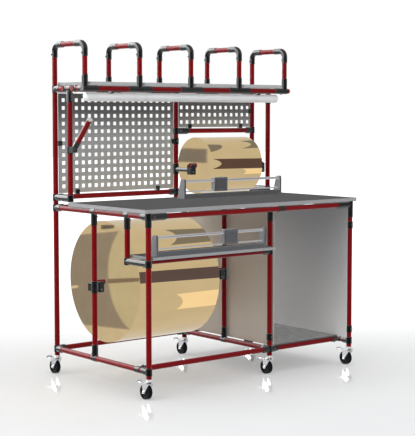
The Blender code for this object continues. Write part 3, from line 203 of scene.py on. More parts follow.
def clamp_joints():
    """The clamp joints of each frame node."""
    joints = {
        "post_front_left": [clamp(0, 0, BASE_Z, UP, (REAR, ARM)), clamp(0, 0, SMALL_Z, UP, (REAR, ARM))],
        "post_front_right": [clamp(LENGTH, 0, BASE_Z, UP, (REAR, ARM)), clamp(LENGTH, 0, LOW_CLAMP_Z, UP),
                             clamp(LENGTH, 0, SPARE_CLAMP_Z, UP)],
        "post_front_middle": [
            clamp(BAY, SETBACK, BASE_Z, UP, (LEFT, ARM), (RIGHT, ARM), (REAR, ARM)),
            clamp(BAY, SETBACK, LOW_CLAMP_Z, UP), clamp(BAY, SETBACK, SMALL_Z, UP, (LEFT, ARM))],
        "post_rear_left": [clamp(0, DEPTH, z, UP, (FRONT, ARM), (RIGHT, ARM))
                           for z in (BASE_Z, TABLE_Z, BOARD_Z)],
        "post_rear_right": [
            clamp(LENGTH, DEPTH, BASE_Z, UP, (FRONT, ARM), (LEFT, ARM)),
            clamp(LENGTH, DEPTH, TABLE_Z, UP, (FRONT, ARM), (LEFT, ARM)),
            clamp(LENGTH, DEPTH, BOARD_Z, UP, (FRONT, ARM)),
            clamp(LENGTH, DEPTH, RIGHT_Z, UP, (LEFT, ARM))],
        "post_rear_middle": [clamp(BAY, DEPTH, BASE_Z, UP, (FRONT, ARM), (LEFT, ARM), (RIGHT, ARM))],
        "base_frame_left": [clamp(0, SETBACK, BASE_Z, REAR, (RIGHT, ARM)),
                            clamp(0, ROLL_Y, BASE_Z, REAR, (UP, SOCKET))],
        "base_frame_middle": [clamp(BAY, ROLL_Y, BASE_Z, REAR, (UP, SOCKET))],
        "base_frame_right": [clamp(LENGTH, SETBACK, BASE_Z, REAR, (LEFT, ARM))],
        "table_frame": [
            clamp(0, 0, TABLE_Z, UP, (RIGHT, TABLE_LEFT_ARM), (REAR, ARM), (DOWN, ARM)),
            clamp(LENGTH, 0, TABLE_Z, UP, (LEFT, TABLE_RIGHT_ARM), (REAR, ARM), (DOWN, SOCKET)),
            clamp(BAY, 0, TABLE_Z, RIGHT, (REAR, ARM)),
            clamp(BAY, SETBACK, TABLE_Z, REAR, (DOWN, SOCKET)),
            clamp(BAY, ROLL_Y, TABLE_Z, REAR, (DOWN, SOCKET)),
            clamp(BAY, DEPTH, TABLE_Z, RIGHT, (DOWN, SOCKET), (FRONT, ARM)),
            clamp(0, ROLL_Y, TABLE_Z, REAR, (DOWN, SOCKET)),
            clamp(0, HANGER_Y, TABLE_Z, REAR, (DOWN, SOCKET)),
            clamp(BOARD_X, DEPTH, TABLE_Z, RIGHT)],
        "small_shelf_frame": [clamp(0, SETBACK, SMALL_Z, REAR, (FRONT, SHELF_FRONT_ARM),
                                    (REAR, HANGER_Y - SETBACK), (RIGHT, ARM)),
                              clamp(0, HANGER_Y, SMALL_Z, UP)],
        "board_frame": [clamp(BOARD_X, DEPTH, BOARD_Z, UP, (LEFT, ARM)),
                        clamp(BOARD_X, DEPTH, RIGHT_Z, UP, (RIGHT, BOARD_ARM)),
                        clamp(BOARD_X, DEPTH, BOARD_CLAMP_Z, UP)],
        "upright_left": [clamp(0, UPRIGHT_Y, BOARD_Z, UP, (REAR, DEPTH - UPRIGHT_Y - ARM))],
        "upright_right": [clamp(LENGTH, UPRIGHT_Y, BOARD_Z, UP, (REAR, DEPTH - UPRIGHT_Y - ARM))],
        "shelf_frame": [
            *(clamp(0, y, SHELF_Z, REAR) for y in SHELF_STUB_YS),
            clamp(0, UPRIGHT_Y, SHELF_Z, REAR, (DOWN, SOCKET)),
            clamp(LENGTH, UPRIGHT_Y, SHELF_Z, REAR, (DOWN, SOCKET)),
            clamp(BOARD_X, DEPTH, SHELF_Z, RIGHT, (DOWN, ARM))],
    }
    last = HOOPS - 1
    for index in range(HOOPS):
        for y, inward in ((SHELF_Y, REAR), (DEPTH, FRONT)):
            through = y == DEPTH and index in (0, last)
            arms = [] if through else [(UP, SOCKET)]
            if index > 0:
                arms.append((LEFT, TEE))
            if index < last:
                arms.append((RIGHT, TEE))
            if index in (0, last):
                arms.append((inward, ARM))
            along = UP if through else RIGHT
            joints["shelf_frame"].append(clamp(index * HOOP_PITCH, y, SHELF_Z, along, *arms))
    return joints


class FrameSizes(bpy.types.PropertyGroup):
    """Sizes of the pipe frame."""

    pipe_radius: FloatProperty(name="Pipe radius", description="Radius of the coated steel pipe",
                               default=0.014, min=0.01, max=0.02, unit="LENGTH", precision=4)
    clamp_radius: FloatProperty(name="Clamp radius", description="Radius of the clamp shells",
                                default=0.0168, min=0.012, max=0.024, unit="LENGTH", precision=4)
    pipe_sides: IntProperty(name="Pipe sides", description="Sides of a round pipe",
                            default=36, min=12, max=64)
    bolt_radius: FloatProperty(name="Bolt radius", description="Radius of a clamp bolt's head",
                               default=0.005, min=0.002, max=0.01, unit="LENGTH", precision=4)


class Finishes(bpy.types.PropertyGroup):
    """Colours of the table's finishes."""

    pipe_red: FloatVectorProperty(name="Pipe red", description="Coating of the pipes", subtype="COLOR",
                                  size=3, min=0, max=1, default=(0.19, 0.004, 0.006))
    clamp_black: FloatVectorProperty(name="Clamp black", description="Coating of the clamps",
                                     subtype="COLOR", size=3, min=0, max=1,
                                     default=(0.009, 0.009, 0.010))
    board_grey: FloatVectorProperty(name="Board grey", description="Laminate of the worktop",
                                    subtype="COLOR", size=3, min=0, max=1, default=(0.016, 0.016, 0.017))
    film_gold: FloatVectorProperty(name="Film gold", description="Metallised film on the rolls",
                                   subtype="COLOR", size=3, min=0, max=1, default=(0.70, 0.53, 0.285))
    cutter_grey: FloatVectorProperty(name="Cutter grey", description="Coating of the film cutters",
                                     subtype="COLOR", size=3, min=0, max=1, default=(0.100, 0.103, 0.112))


def sizes():
    """The frame's sizes, as the panel shows them."""
    return bpy.context.scene.packing_sizes


def finishes():
    """The table's colours, as the panel shows them."""
    return bpy.context.scene.packing_finishes


def deselect():
    """Leave nothing selected."""
    if bpy.context.object and bpy.context.object.mode != "OBJECT":
        bpy.ops.object.mode_set(mode="OBJECT")
    bpy.ops.object.select_all(action="DESELECT")


def pick(*objects):
    """Select some objects alone, the first of them active."""
    deselect()
    for obj in objects:
        obj.select_set(True)
    bpy.context.view_layer.objects.active = objects[0]
    return objects[0]


def settle(piece):
    """Put a piece's object at the origin, unturned and unscaled."""
    pick(piece)
    bpy.ops.object.transform_apply(location=True, rotation=True, scale=True)


def heading(way):
    """The turn that points a new primitive's Z along a way."""
    return Vector(way).to_track_quat("Z", "Y").to_euler()


def turned_rod(start, end, radius, sides):
    """Add a round rod between two places, as an object that isn't settled yet."""
    run = end - start
    deselect()
    bpy.ops.mesh.primitive_cylinder_add(vertices=sides, radius=radius, depth=run.length,
                                        location=(start + end) / 2, rotation=heading(run))
    return bpy.context.object


def add_rod(start, end, radius, sides):
    """Add a round rod between two places."""
    rod = turned_rod(start, end, radius, sides)
    settle(rod)
    return rod


def add_level_rod(low_x, high_x, y, z, radius, sides):
    """Add a round rod that runs from left to right."""
    return add_rod(Vector((low_x, y, z)), Vector((high_x, y, z)), radius, sides)


def add_disc(place, way, radius, sides):
    """Add a flat disc that faces a way."""
    deselect()
    bpy.ops.mesh.primitive_circle_add(vertices=sides, radius=radius, fill_type="NGON", location=place,
                                      rotation=heading(way))
    disc = bpy.context.object
    settle(disc)
    return disc


def scaled_block(first, second):
    """Add a box between two opposite corners, as an object that isn't settled yet."""
    low = Vector([min(pair) for pair in zip(first, second)])
    high = Vector([max(pair) for pair in zip(first, second)])
    deselect()
    bpy.ops.mesh.primitive_cube_add(size=1, location=(low + high) / 2)
    block = bpy.context.object
    block.scale = high - low
    return block


def add_block(first, second):
    """Add a box between two opposite corners."""
    block = scaled_block(first, second)
    settle(block)
    return block


def join(objects, name):
    """Join shapes into one named piece whose place is in its mesh."""
    piece = pick(*objects)
    if len(objects) > 1:
        bpy.ops.object.join()
    piece.name = name
    piece.data.name = name
    settle(piece)
    return piece


def apply_modifier(piece, kind, **settings):
    """Add a modifier and apply it."""
    pick(piece)
    modifier = piece.modifiers.new(kind.title(), kind)
    for key, value in settings.items():
        setattr(modifier, key, value)
    bpy.ops.object.modifier_apply(modifier=modifier.name)


def cut_away(piece, tool, **settings):
    """Cut a tool's shape out of a piece and drop the tool."""
    apply_modifier(piece, "BOOLEAN", object=tool, operation="DIFFERENCE", solver="EXACT", **settings)
    bpy.data.objects.remove(tool)


def soften(piece, width, segments=2, angle=40):
    """Round a piece's sharp edges."""
    apply_modifier(piece, "BEVEL", width=width, segments=segments, limit_method="ANGLE",
                   angle_limit=math.radians(angle))


def smooth(piece, angle=35):
    """Shade a piece's round sides smooth."""
    pick(piece)
    bpy.ops.object.shade_smooth_by_angle(angle=math.radians(angle))
    apply_modifier(piece, "WEIGHTED_NORMAL", keep_sharp=True, weight=100)


def run_steps(piece, kind, chosen, steps):
    """Run edit-mode steps on the faces or edges of a piece that a test chooses."""
    pick(piece)
    bpy.ops.object.mode_set(mode="EDIT")
    bpy.ops.mesh.select_mode(type=kind)
    bpy.ops.mesh.select_all(action="DESELECT")
    bpy.ops.object.mode_set(mode="OBJECT")
    for part in piece.data.polygons if kind == "FACE" else piece.data.edges:
        part.select = chosen(part)
    bpy.ops.object.mode_set(mode="EDIT")
    for step in steps:
        step()
    bpy.ops.object.mode_set(mode="OBJECT")


def edit(piece, chosen, *steps):
    """Run edit-mode steps on the faces that a test chooses."""
    run_steps(piece, "FACE", chosen, steps)


def round_corners(piece, chosen, width, segments):
    """Round the edges of a piece whose two ends pass a test."""
    def ends_pass(edge):
        return chosen(*(piece.data.vertices[index].co for index in edge.vertices))

    run_steps(piece, "EDGE", ends_pass, [lambda: bpy.ops.mesh.bevel(offset=width, segments=segments)])


def inset(thickness, depth=0.0):
    """An edit-mode step that insets the chosen faces."""
    return lambda: bpy.ops.mesh.inset(thickness=thickness, depth=depth)


def push(offset):
    """An edit-mode step that extrudes the chosen faces by an offset."""
    return lambda: bpy.ops.mesh.extrude_region_move(TRANSFORM_OT_translate={"value": offset})


def merge():
    """An edit-mode step that merges all vertices that lie on each other."""
    bpy.ops.mesh.select_all(action="SELECT")
    bpy.ops.mesh.remove_doubles(threshold=MERGE)


def facing(way, share=0.95):
    """A test for faces that point a way."""
    return lambda face: face.normal.dot(Vector(way)) > share


def add_node(tree, kind, inputs=None, **settings):
    """Add a shader node with its settings, and its inputs given as values or as other outputs."""
    node = tree.nodes.new("ShaderNode" + kind)
    for key, value in settings.items():
        setattr(node, key, value)
    for key, value in (inputs or {}).items():
        feed(tree, node.inputs[key], value)
    return node


def feed(tree, socket, value):
    """Link an output to an input, or set the input to a plain value or colour."""
    if isinstance(value, bpy.types.NodeSocket):
        tree.links.new(value, socket)
    elif socket.type == "RGBA":
        socket.default_value = (*value, 1)
    else:
        socket.default_value = value


def times(tree, first, second):
    """The product of two values."""
    return add_node(tree, "Math", {0: first, 1: second}, operation="MULTIPLY").outputs["Value"]


def toward(tree, place, way):
    """How far a place or direction lies along a way."""
    return add_node(tree, "VectorMath", {0: place, 1: way}, operation="DOT_PRODUCT").outputs["Value"]


def blend(tree, factor, first, second):
    """A colour that passes from one to another by a factor."""
    mix = add_node(tree, "Mix", data_type="RGBA")
    for key, value in (("Factor", factor), ("A", first), ("B", second)):
        feed(tree, mix.inputs[key], value)
    return mix.outputs["Result"]


def shader_of(fresh):
    """A new material's node tree and its shader."""
    fresh.use_nodes = True
    tree = fresh.node_tree
    return tree, tree.nodes["Principled BSDF"]


def pattern(tree, kind, scale, stretch=(1, 1, 1), **settings):
    """A texture on the object's own coordinates, stretched by a Mapping node."""
    place = add_node(tree, "TexCoord")
    mapping = add_node(tree, "Mapping", {"Vector": place.outputs["Object"], "Scale": stretch})
    return add_node(tree, kind, {"Vector": mapping.outputs["Vector"], "Scale": scale, **settings})


def ramp(tree, source, low, high, start=0.3, end=0.7):
    """A colour ramp between two values or colours."""
    node = add_node(tree, "ValToRGB", {"Fac": source})
    for stop, place, value in ((0, start, low), (1, end, high)):
        colour = value if hasattr(value, "__len__") else (value, value, value)
        node.color_ramp.elements[stop].position = place
        node.color_ramp.elements[stop].color = (*colour, 1)
    return node.outputs["Color"]


def bump(tree, shader, source, strength, distance):
    """Raise a shader's surface by a pattern."""
    node = add_node(tree, "Bump", {"Height": source, "Strength": strength, "Distance": distance})
    feed(tree, shader.inputs["Normal"], node.outputs["Normal"])


def tint(colour, share):
    """A colour made lighter or darker by a share."""
    return tuple(min(1, max(0, channel * share)) for channel in colour)


WEAR_SCALE = 6
ROUGHNESS_SHARES = (0.8, 1.25)
GRAIN_SCALE = 900
GRAIN_HEIGHT = 0.0004
COAT_ROUGHNESS = 0.06


def coated(name, colour, spread, roughness, metallic=0.0, coat=0.0, scale=40, grain=0.0, stretch=(1, 1, 1),
           gloss=0.5):
    """A coated or moulded finish with cloudy colour, uneven gloss and a fine grain."""
    fresh = bpy.data.materials.new(name)
    tree, shader = shader_of(fresh)
    cloud = pattern(tree, "TexNoise", scale, stretch, Detail=4.0, Roughness=0.6)
    wear = pattern(tree, "TexNoise", scale * WEAR_SCALE, stretch, Detail=3.0)
    dull, bright = (roughness * share for share in ROUGHNESS_SHARES)
    for key, value in {
        "Base Color": ramp(tree, cloud.outputs["Fac"], tint(colour, 1 - spread), tint(colour, 1 + spread)),
        "Roughness": ramp(tree, wear.outputs["Fac"], dull, bright),
        "Metallic": metallic,
        "Coat Weight": coat,
        "Coat Roughness": COAT_ROUGHNESS,
        "Specular IOR Level": gloss,
    }.items():
        feed(tree, shader.inputs[key], value)
    if grain:
        fine = pattern(tree, "TexNoise", GRAIN_SCALE, stretch, Detail=2.0)
        bump(tree, shader, fine.outputs["Fac"], grain, GRAIN_HEIGHT)
    return fresh


RING_SCALE = 55
RING_HEIGHT = 0.00005
RING_STRENGTH = 0.05
FILM_CLOUD_SCALE = 3
FILM_CLOUD_STRETCH = (1, 4, 4)
FILM_ROUGHNESS = (0.015, 0.04)
FILM_SPREAD = 0.04


def film_material(name, centre):
    """Metallised gold film: mirror-bright, with faint wound rings about a roll's axis."""
    fresh = bpy.data.materials.new(name)
    tree, shader = shader_of(fresh)
    gold = finishes().film_gold
    place = add_node(tree, "TexCoord")
    mapping = add_node(tree, "Mapping", {"Vector": place.outputs["Object"],
                                         "Location": (0, -centre.y, -centre.z), "Scale": (0, 1, 1)})
    rings = add_node(tree, "TexWave", {"Vector": mapping.outputs["Vector"], "Scale": RING_SCALE,
                                       "Distortion": 0.6, "Detail": 2},
                     wave_type="RINGS", rings_direction="X")
    cloud = pattern(tree, "TexNoise", FILM_CLOUD_SCALE, FILM_CLOUD_STRETCH, Detail=2.0)
    for key, value in {
        "Base Color": ramp(tree, cloud.outputs["Fac"], tint(gold, 1 - FILM_SPREAD),
                           tint(gold, 1 + FILM_SPREAD)),
        "Roughness": ramp(tree, rings.outputs["Fac"], *FILM_ROUGHNESS),
        "Metallic": 1.0,
    }.items():
        feed(tree, shader.inputs[key], value)
    bump(tree, shader, rings.outputs["Fac"], RING_STRENGTH, RING_HEIGHT)
    return fresh


def painted_shade_grade(coating, high, foot, head):
    """Paint shade into a board's coating: between two heights its own colour passes to a darker colour, given
    as high, which stands in for shade.
    """
    tree = coating.node_tree
    colour = tree.nodes["Principled BSDF"].inputs["Base Color"]
    place = add_node(tree, "TexCoord")
    split = add_node(tree, "SeparateXYZ", {"Vector": place.outputs["Object"]})
    rise = add_node(tree, "MapRange", {"Value": split.outputs["Z"], "From Min": foot, "From Max": head})
    feed(tree, colour, blend(tree, rise.outputs["Result"], colour.links[0].from_socket, high))
    return coating


MATERIALS = {}


def material(name):
    """One of the table's finishes, made when it is first asked for."""
    if name not in MATERIALS:
        tones = finishes()
        makers = {
            "pipe_red": lambda: coated(name, tones.pipe_red, 0.06, 0.18, scale=30, grain=0.03, gloss=0.09),
            "clamp_black": lambda: coated(name, tones.clamp_black, 0.12, 0.16, scale=60, grain=0.04,
                                          gloss=0.36),
            "laminate": lambda: coated(name, tones.board_grey, 0.10, 0.42, scale=120, grain=0.15, gloss=0.02),
            "laminate_edge": lambda: coated(name, (0.33, 0.33, 0.34), 0.04, 0.45, scale=60, gloss=0.05),
            "shelf_board": lambda: coated(name, (0.44, 0.45, 0.46), 0.04, 0.35, scale=50, grain=0.08,
                                          gloss=0.08),
            # Bay panel: painted light and shade, darker towards the head and paler at the foot, where the
            # floor's reflection falls.
            "panel": lambda: painted_shade_grade(coated(name, (0.78, 0.78, 0.78), 0.03, 0.16, scale=4),
                                    high=(0.33, 0.33, 0.33), foot=0.12, head=0.90),
            "panel_warm": lambda: coated(name, (0.54, 0.49, 0.43), 0.03, 0.14, scale=4),
            "floor_panel": lambda: coated(name, (0.10, 0.10, 0.10), 0.03, 0.45, scale=4, gloss=0.3),
            # Perforated boards: painted shade, darker towards the head, where the upper shelf shades them.
            "perforated": lambda: painted_shade_grade(coated(name, (0.41, 0.42, 0.42), 0.03, 0.40, scale=20, grain=0.04),
                                         high=(0.14, 0.14, 0.14), foot=1.30, head=1.45),
            "cutter": lambda: coated(name, tones.cutter_grey, 0.08, 0.38, metallic=0.2, scale=50,
                                     grain=0.10),
            "bright_steel": lambda: coated(name, (0.52, 0.52, 0.54), 0.05, 0.16, metallic=1.0, scale=40,
                                           stretch=(0.1, 1, 1)),
            "zinc": lambda: coated(name, (0.66, 0.67, 0.69), 0.08, 0.24, metallic=1.0, scale=80,
                                   grain=0.04),
            "rubber": lambda: coated(name, (0.006, 0.006, 0.007), 0.2, 0.60, scale=90, grain=0.2, gloss=0.06),
            "white_plastic": lambda: coated(name, (0.78, 0.78, 0.77), 0.03, 0.35, scale=60),
            "grey_plastic": lambda: coated(name, (0.42, 0.42, 0.42), 0.03, 0.35, scale=60),
            "frosted": lambda: coated(name, (0.82, 0.83, 0.84), 0.03, 0.30, coat=0.4, scale=25,
                                      grain=0.12),
        }
        MATERIALS[name] = makers[name]()
    return MATERIALS[name]


MIRRORED = ("zinc", "white_plastic")


def keep_out_of_mirrors(*objects):
    """Leave objects out of the rolls' reflections, which show the plain studio alone."""
    for obj in objects:
        obj.visible_glossy = False


def finish(piece, finish_name, body="frame"):
    """Give a piece its material and body."""
    piece.data.materials.clear()
    piece.data.materials.append(material(finish_name))
    if finish_name not in MIRRORED:
        keep_out_of_mirrors(piece)
    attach(piece, body)
    return piece


def second_finish(piece, finish_name, chosen):
    """Give the chosen faces of a piece another finish."""
    piece.data.materials.append(material(finish_name))
    index = len(piece.data.materials) - 1
    for face in piece.data.polygons:
        if chosen(face):
            face.material_index = index


def dress_node(node, finish_name):
    """Give a CAD node that is shown as it is a better material."""
    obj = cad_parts[node]
    obj.data.materials.clear()
    obj.data.materials.append(material(finish_name))
    keep_out_of_mirrors(obj)


def add_bolt(place, way, radius):
    """Add a socket-head bolt that stands on a place."""
    size = {key: radius * share for key, share in BOLT_SHARES.items()}
    head = add_rod(place - way * size["sunk"], place + way * size["proud"], radius, BOLT_SIDES)
    edit(head, facing(way), inset(size["edge"]), inset(size["rim"], -size["dish"]),
         push(-way * size["socket"]))
    return head


def side_of(way):
    """Two ways square to a way."""
    other = UP if abs(way.dot(UP)) < ALONG_SHARE else REAR
    first = way.cross(other).normalized()
    return first, way.cross(first).normalized()


def add_sleeve(start, end, radius):
    """Add a clamp shell's sleeve with a raised lip at its free end."""
    way = (end - start).normalized()
    sleeve = add_rod(start, end, radius, SHELL_SIDES)
    edit(sleeve, facing(way), inset(LIP_INSET), push(way * LIP_RISE), inset(LIP_WIDTH))
    return sleeve


def add_seam(start, end, radius, across):
    """Add the flange along a sleeve where its two half shells meet."""
    run = end - start
    thick = run.cross(across).normalized()
    half = run * SEAM_LENGTH_SHARE / 2 + across * (radius + SEAM_STAND) + thick * SEAM_THICKNESS / 2
    middle = (start + end) / 2
    return add_block(middle - half, middle + half)


def clamp_shapes(middle, along, arms):
    """The shells, seams and bolts of one clamp joint."""
    radius, bolt = sizes().clamp_radius, sizes().bolt_radius
    start, end = middle - along * COLLAR, middle + along * COLLAR
    shapes = [add_sleeve(start, end, radius), add_sleeve(end, start, radius)]
    for way, reach in arms:
        tip = middle + way * reach
        shapes.append(add_sleeve(middle + way * radius / 2, tip, radius - ARM_EASE))
        if abs(way.dot(along)) < ALONG_SHARE:
            across = way.cross(along).normalized()
            seat = middle + way * (radius + BOLT_STEP)
            shapes.append(add_seam(middle + way * radius, tip - way * SEAM_END, radius, along))
            shapes.append(add_bolt(seat + across * (radius - BOLT_SEAT), across, bolt))
    if not arms:
        across, front = side_of(along)
        shapes.append(add_seam(start, end, radius, across))
        shapes.append(add_bolt(middle + front * radius, front, bolt))
    return shapes


def make_piece(shapes, name, finish_name, edge=0.0, node=None, body="frame", segments=2, angle=35):
    """Join shapes into one rounded and smooth piece with its finish and body, and hide its CAD node."""
    piece = join(shapes, name)
    if edge:
        soften(piece, edge, segments)
    smooth(piece, angle)
    finish(piece, finish_name, body)
    if node:
        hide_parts(node)


def make_shells(shapes, name, body="frame"):
    """Join black clamp shells and bolts into one finished piece."""
    make_piece(shapes, name, "clamp_black", SHELL_EDGE, body=body, segments=1)


class PACKING_OT_pipes(bpy.types.Operator):
    """Build the red pipes of the frame"""

    bl_idname = "packing.pipes"
    bl_label = "Pipes"

    def execute(self, context):
        radius, sides = sizes().pipe_radius, sizes().pipe_sides
        for node, runs in leg_runs().items():
            rods = [add_rod(at(*start), at(*end), radius, sides) for start, end in runs]
            make_piece(rods, node + "_pipes", "pipe_red", PIPE_EDGE, node)
        return {"FINISHED"}


class PACKING_OT_clamps(bpy.types.Operator):
    """Build the black clamp joints of the frame"""

    bl_idname = "packing.clamps"
    bl_label = "Clamps"

    def execute(self, context):
        for node, joints in clamp_joints().items():
            shapes = []
            for middle, along, arms in joints:
                shapes += clamp_shapes(at(*middle), along, arms)
            make_shells(shapes, node + "_clamps")
        return {"FINISHED"}


ELBOW_STEPS = 10
ELBOW_BOLT_DROP = 0.052
ELBOW_BOLT_REACH = 0.066


def add_elbow(corner, first, second, radius):
    """Add a bent shell that runs to a corner along one way and leaves it along another."""
    elbow = add_disc(corner - first * ELBOW_DROP, first, radius, SHELL_SIDES)
    centre = corner - first * BEND + second * BEND
    edit(elbow, lambda face: True,
         push(first * (ELBOW_DROP - BEND)),
         lambda: bpy.ops.mesh.spin(steps=ELBOW_STEPS, angle=math.pi / 2, center=centre,
                                   axis=second.cross(first)),
         push(second * (ELBOW_REACH - BEND)),
         merge,
         lambda: bpy.ops.mesh.normals_make_consistent(inside=False))
    return elbow


class PACKING_OT_hoops(bpy.types.Operator):
    """Build the hoops that divide the upper shelf"""

    bl_idname = "packing.hoops"
    bl_label = "Hoops"

    def execute(self, context):
        radius, shell, sides = sizes().pipe_radius, sizes().clamp_radius, sizes().pipe_sides
        for index in range(HOOPS):
            x = index * HOOP_PITCH
            node = f"hoop_{index + 1}"
            rods = [add_rod(at(x, y, SHELF_Z + COLLAR), at(x, y, HOOP_Z - BEND), radius, sides)
                    for y in (SHELF_Y, DEPTH)]
            rods.append(add_rod(at(x, SHELF_Y + BEND, HOOP_Z), at(x, DEPTH - BEND, HOOP_Z), radius, sides))
            make_piece(rods, node + "_pipes", "pipe_red", node=node)
            elbows = [add_elbow(at(x, SHELF_Y, HOOP_Z), UP, REAR, shell),
                      add_elbow(at(x, DEPTH, HOOP_Z), UP, FRONT, shell)]
            for y, way in ((SHELF_Y, REAR), (DEPTH, FRONT)):
                corner = at(x, y, HOOP_Z) + LEFT * (shell - BOLT_SEAT)
                for offset in (DOWN * ELBOW_BOLT_DROP, way * ELBOW_BOLT_REACH):
                    elbows.append(add_bolt(corner + offset, LEFT, sizes().bolt_radius))
            make_shells(elbows, node + "_elbows")
        return {"FINISHED"}


BOARD_EDGE = 0.0012
BOARD_TRIM = (0.0004, -0.0002)
SHELF_BOARDS = 4
SHELF_CORNER = 0.022
SHELF_CORNER_STEPS = 8
BOARD_SIDE_SHARE = 0.6


class PACKING_OT_boards(bpy.types.Operator):
    """Build the worktop, the small shelf and the upper shelf's boards"""

    bl_idname = "packing.boards"
    bl_label = "Boards"

    def execute(self, context):
        for node in ("worktop", "small_shelf"):
            low, high, _ = cast(node)
            board = add_block(low, high)
            edit(board, facing(UP), inset(BOARD_EDGE), inset(*BOARD_TRIM))
            board = join([board], node + "_board")
            soften(board, BOARD_EDGE)
            finish(board, "laminate")
            second_finish(board, "laminate_edge", lambda face: abs(face.normal.z) < BOARD_SIDE_SHARE)
            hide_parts(node)
        for index in range(SHELF_BOARDS):
            node = f"shelf_board_{index + 1}"
            low, high, _ = cast(node)
            board = add_block(low, high)
            round_corners(board, lambda a, b: abs(a.z - b.z) > NEAR, SHELF_CORNER, SHELF_CORNER_STEPS)
            make_piece([board], node + "_board", "shelf_board", ROD_EDGE, node)
        return {"FINISHED"}


CLIP_STAND = 0.004
CLIP_FACE = 0.0002


def clip_face(face, plane):
    """Whether a face belongs to a clip that stands out from a perforated board."""
    stands_out = abs(face.center.y - plane) > CLIP_STAND
    return stands_out or abs(face.normal.y) < ALONG_SHARE and face.area > CLIP_FACE


class PACKING_OT_panels(bpy.types.Operator):
    """Finish the perforated boards and the panels of the closed bay"""

    bl_idname = "packing.panels"
    bl_label = "Panels"

    def execute(self, context):
        plane = at(0, DEPTH, 0).y
        for node in ("pegboard_left", "pegboard_right"):
            dress_node(node, "perforated")
            second_finish(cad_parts[node], "clamp_black", lambda face: clip_face(face, plane))
        dress_node("bay_panel_middle", "panel_warm")
        dress_node("bay_panel_right", "panel")
        dress_node("bay_floor", "floor_panel")
        return {"FINISHED"}


ROLL_SIDES = {"big_roll": 192, "small_roll": 144}
ROLL_RIM = 0.004
ROLL_RING_SHARE = 0.30
ROLL_CORE = 0.0146
ROLL_DISH = 0.002


def add_roll(node):
    """Add a film roll about its axis, with a wound edge at each end."""
    low, high, middle = cast(node)
    radius = (high.z - low.z) / 2
    ring = radius * ROLL_RING_SHARE
    roll = add_level_rod(low.x + ROLL_RIM, high.x - ROLL_RIM, middle.y, middle.z, radius, ROLL_SIDES[node])
    for way in (LEFT, RIGHT):
        edit(roll, facing(way), push(way * ROLL_RIM), inset(ring), inset(ring),
             inset(radius - 2 * ring - ROLL_CORE), push(-way * ROLL_DISH))
    roll = join([roll], node + "_film")
    smooth(roll)
    roll.data.materials.clear()
    roll.data.materials.append(film_material(node + "_gold", middle))
    keep_out_of_mirrors(roll)
    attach(roll, node)
    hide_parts(node)


class PACKING_OT_rolls(bpy.types.Operator):
    """Build the two film rolls and their shafts"""

    bl_idname = "packing.rolls"
    bl_label = "Film rolls"

    def execute(self, context):
        for node in ROLL_SIDES:
            add_roll(node)
            low, high, middle = cast(node + "_shaft")
            rod = add_level_rod(low.x, high.x, middle.y, middle.z, sizes().pipe_radius, sizes().pipe_sides)
            make_piece([rod], node + "_shaft_pipe", "pipe_red", ROD_EDGE, node + "_shaft")
        return {"FINISHED"}


# Cradles, measured from the shaft's axis
CRADLE_INNER = 0.014
CRADLE_OUTER = 0.048
CRADLE_HALF = 0.022
CRADLE_DROP = 0.052
CRADLE_LIP = 0.006
CRADLE_EDGE = 0.004
CRADLE_OVERRUN = 0.01
CRADLE_MOUTH = 0.03
CRADLE_BORE_SIDES = 32
CRADLE_BOLT_DROP = 0.038
CRADLE_SLEEVE = (-0.054, 0.008)
EAR_HALF = 0.008
EAR_DEPTH = 0.050
EAR_HEIGHTS = (-0.046, -0.006)

# Arms that hold the small roll's cradles in front of the rear posts
CUP_SHIFT = 0.031
ROLL_ARM_DROP = 0.026
ROLL_ARM_RADIUS = 0.012
ROLL_ARM_END = 0.012
ROLL_ARM_INSET = 0.058
ROLL_CLAMP = (-0.027, 0.033)
CROSS_RADIUS = 0.0156
CROSS_END = 0.015


def cradle_shapes(post_x, y, z, side):
    """The open cradle that carries one end of a roll's shaft beside a post."""
    bore = sizes().pipe_radius + GAP
    inner, outer = post_x + side * CRADLE_INNER, post_x + side * CRADLE_OUTER
    block = add_block(at(inner, y - CRADLE_HALF, z - CRADLE_DROP), at(outer, y + CRADLE_HALF, z + CRADLE_LIP))
    soften(block, CRADLE_EDGE, segments=3)
    low, high = min(inner, outer) - CRADLE_OVERRUN, max(inner, outer) + CRADLE_OVERRUN
    tool = join([turned_rod(at(low, y, z), at(high, y, z), bore, CRADLE_BORE_SIDES),
                 scaled_block(at(low, y - bore, z), at(high, y + bore, z + CRADLE_MOUTH))], "tool")
    cut_away(block, tool, use_self=True)
    seat = at((inner + outer) / 2, y - CRADLE_HALF, z - CRADLE_BOLT_DROP)
    return [block, add_bolt(seat, FRONT, sizes().bolt_radius)]


def post_cradle_shapes(post_x, side):
    """A big roll's cradle with the sleeve and the ear that hold it on its post."""
    foot, head = (at(post_x, ROLL_Y, BIG_ROLL_Z + rise) for rise in CRADLE_SLEEVE)
    low, high = (BIG_ROLL_Z + rise for rise in EAR_HEIGHTS)
    return cradle_shapes(post_x, ROLL_Y, BIG_ROLL_Z, side) + [
        add_sleeve(foot, head, sizes().clamp_radius),
        add_block(at(post_x - EAR_HALF, ROLL_Y, low), at(post_x + EAR_HALF, ROLL_Y + EAR_DEPTH, high))]


def arm_cradle_shapes(x, post_x):
    """A small roll's cradle on its arm, which a clamp on the rear post carries."""
    z = SMALL_ROLL_Z - ROLL_ARM_DROP
    foot, head = (at(post_x, DEPTH, z + rise) for rise in ROLL_CLAMP)
    shapes = cradle_shapes(x - CUP_SHIFT, UPRIGHT_Y, SMALL_ROLL_Z, 1)
    shapes += [add_sleeve(at(x, DEPTH, z), at(x, UPRIGHT_Y + ROLL_ARM_END, z), ROLL_ARM_RADIUS),
               add_sleeve(foot, head, sizes().clamp_radius)]
    if x != post_x:
        shapes.append(add_sleeve(at(post_x, DEPTH, z), at(x - CROSS_END, DEPTH, z), CROSS_RADIUS))
    return shapes


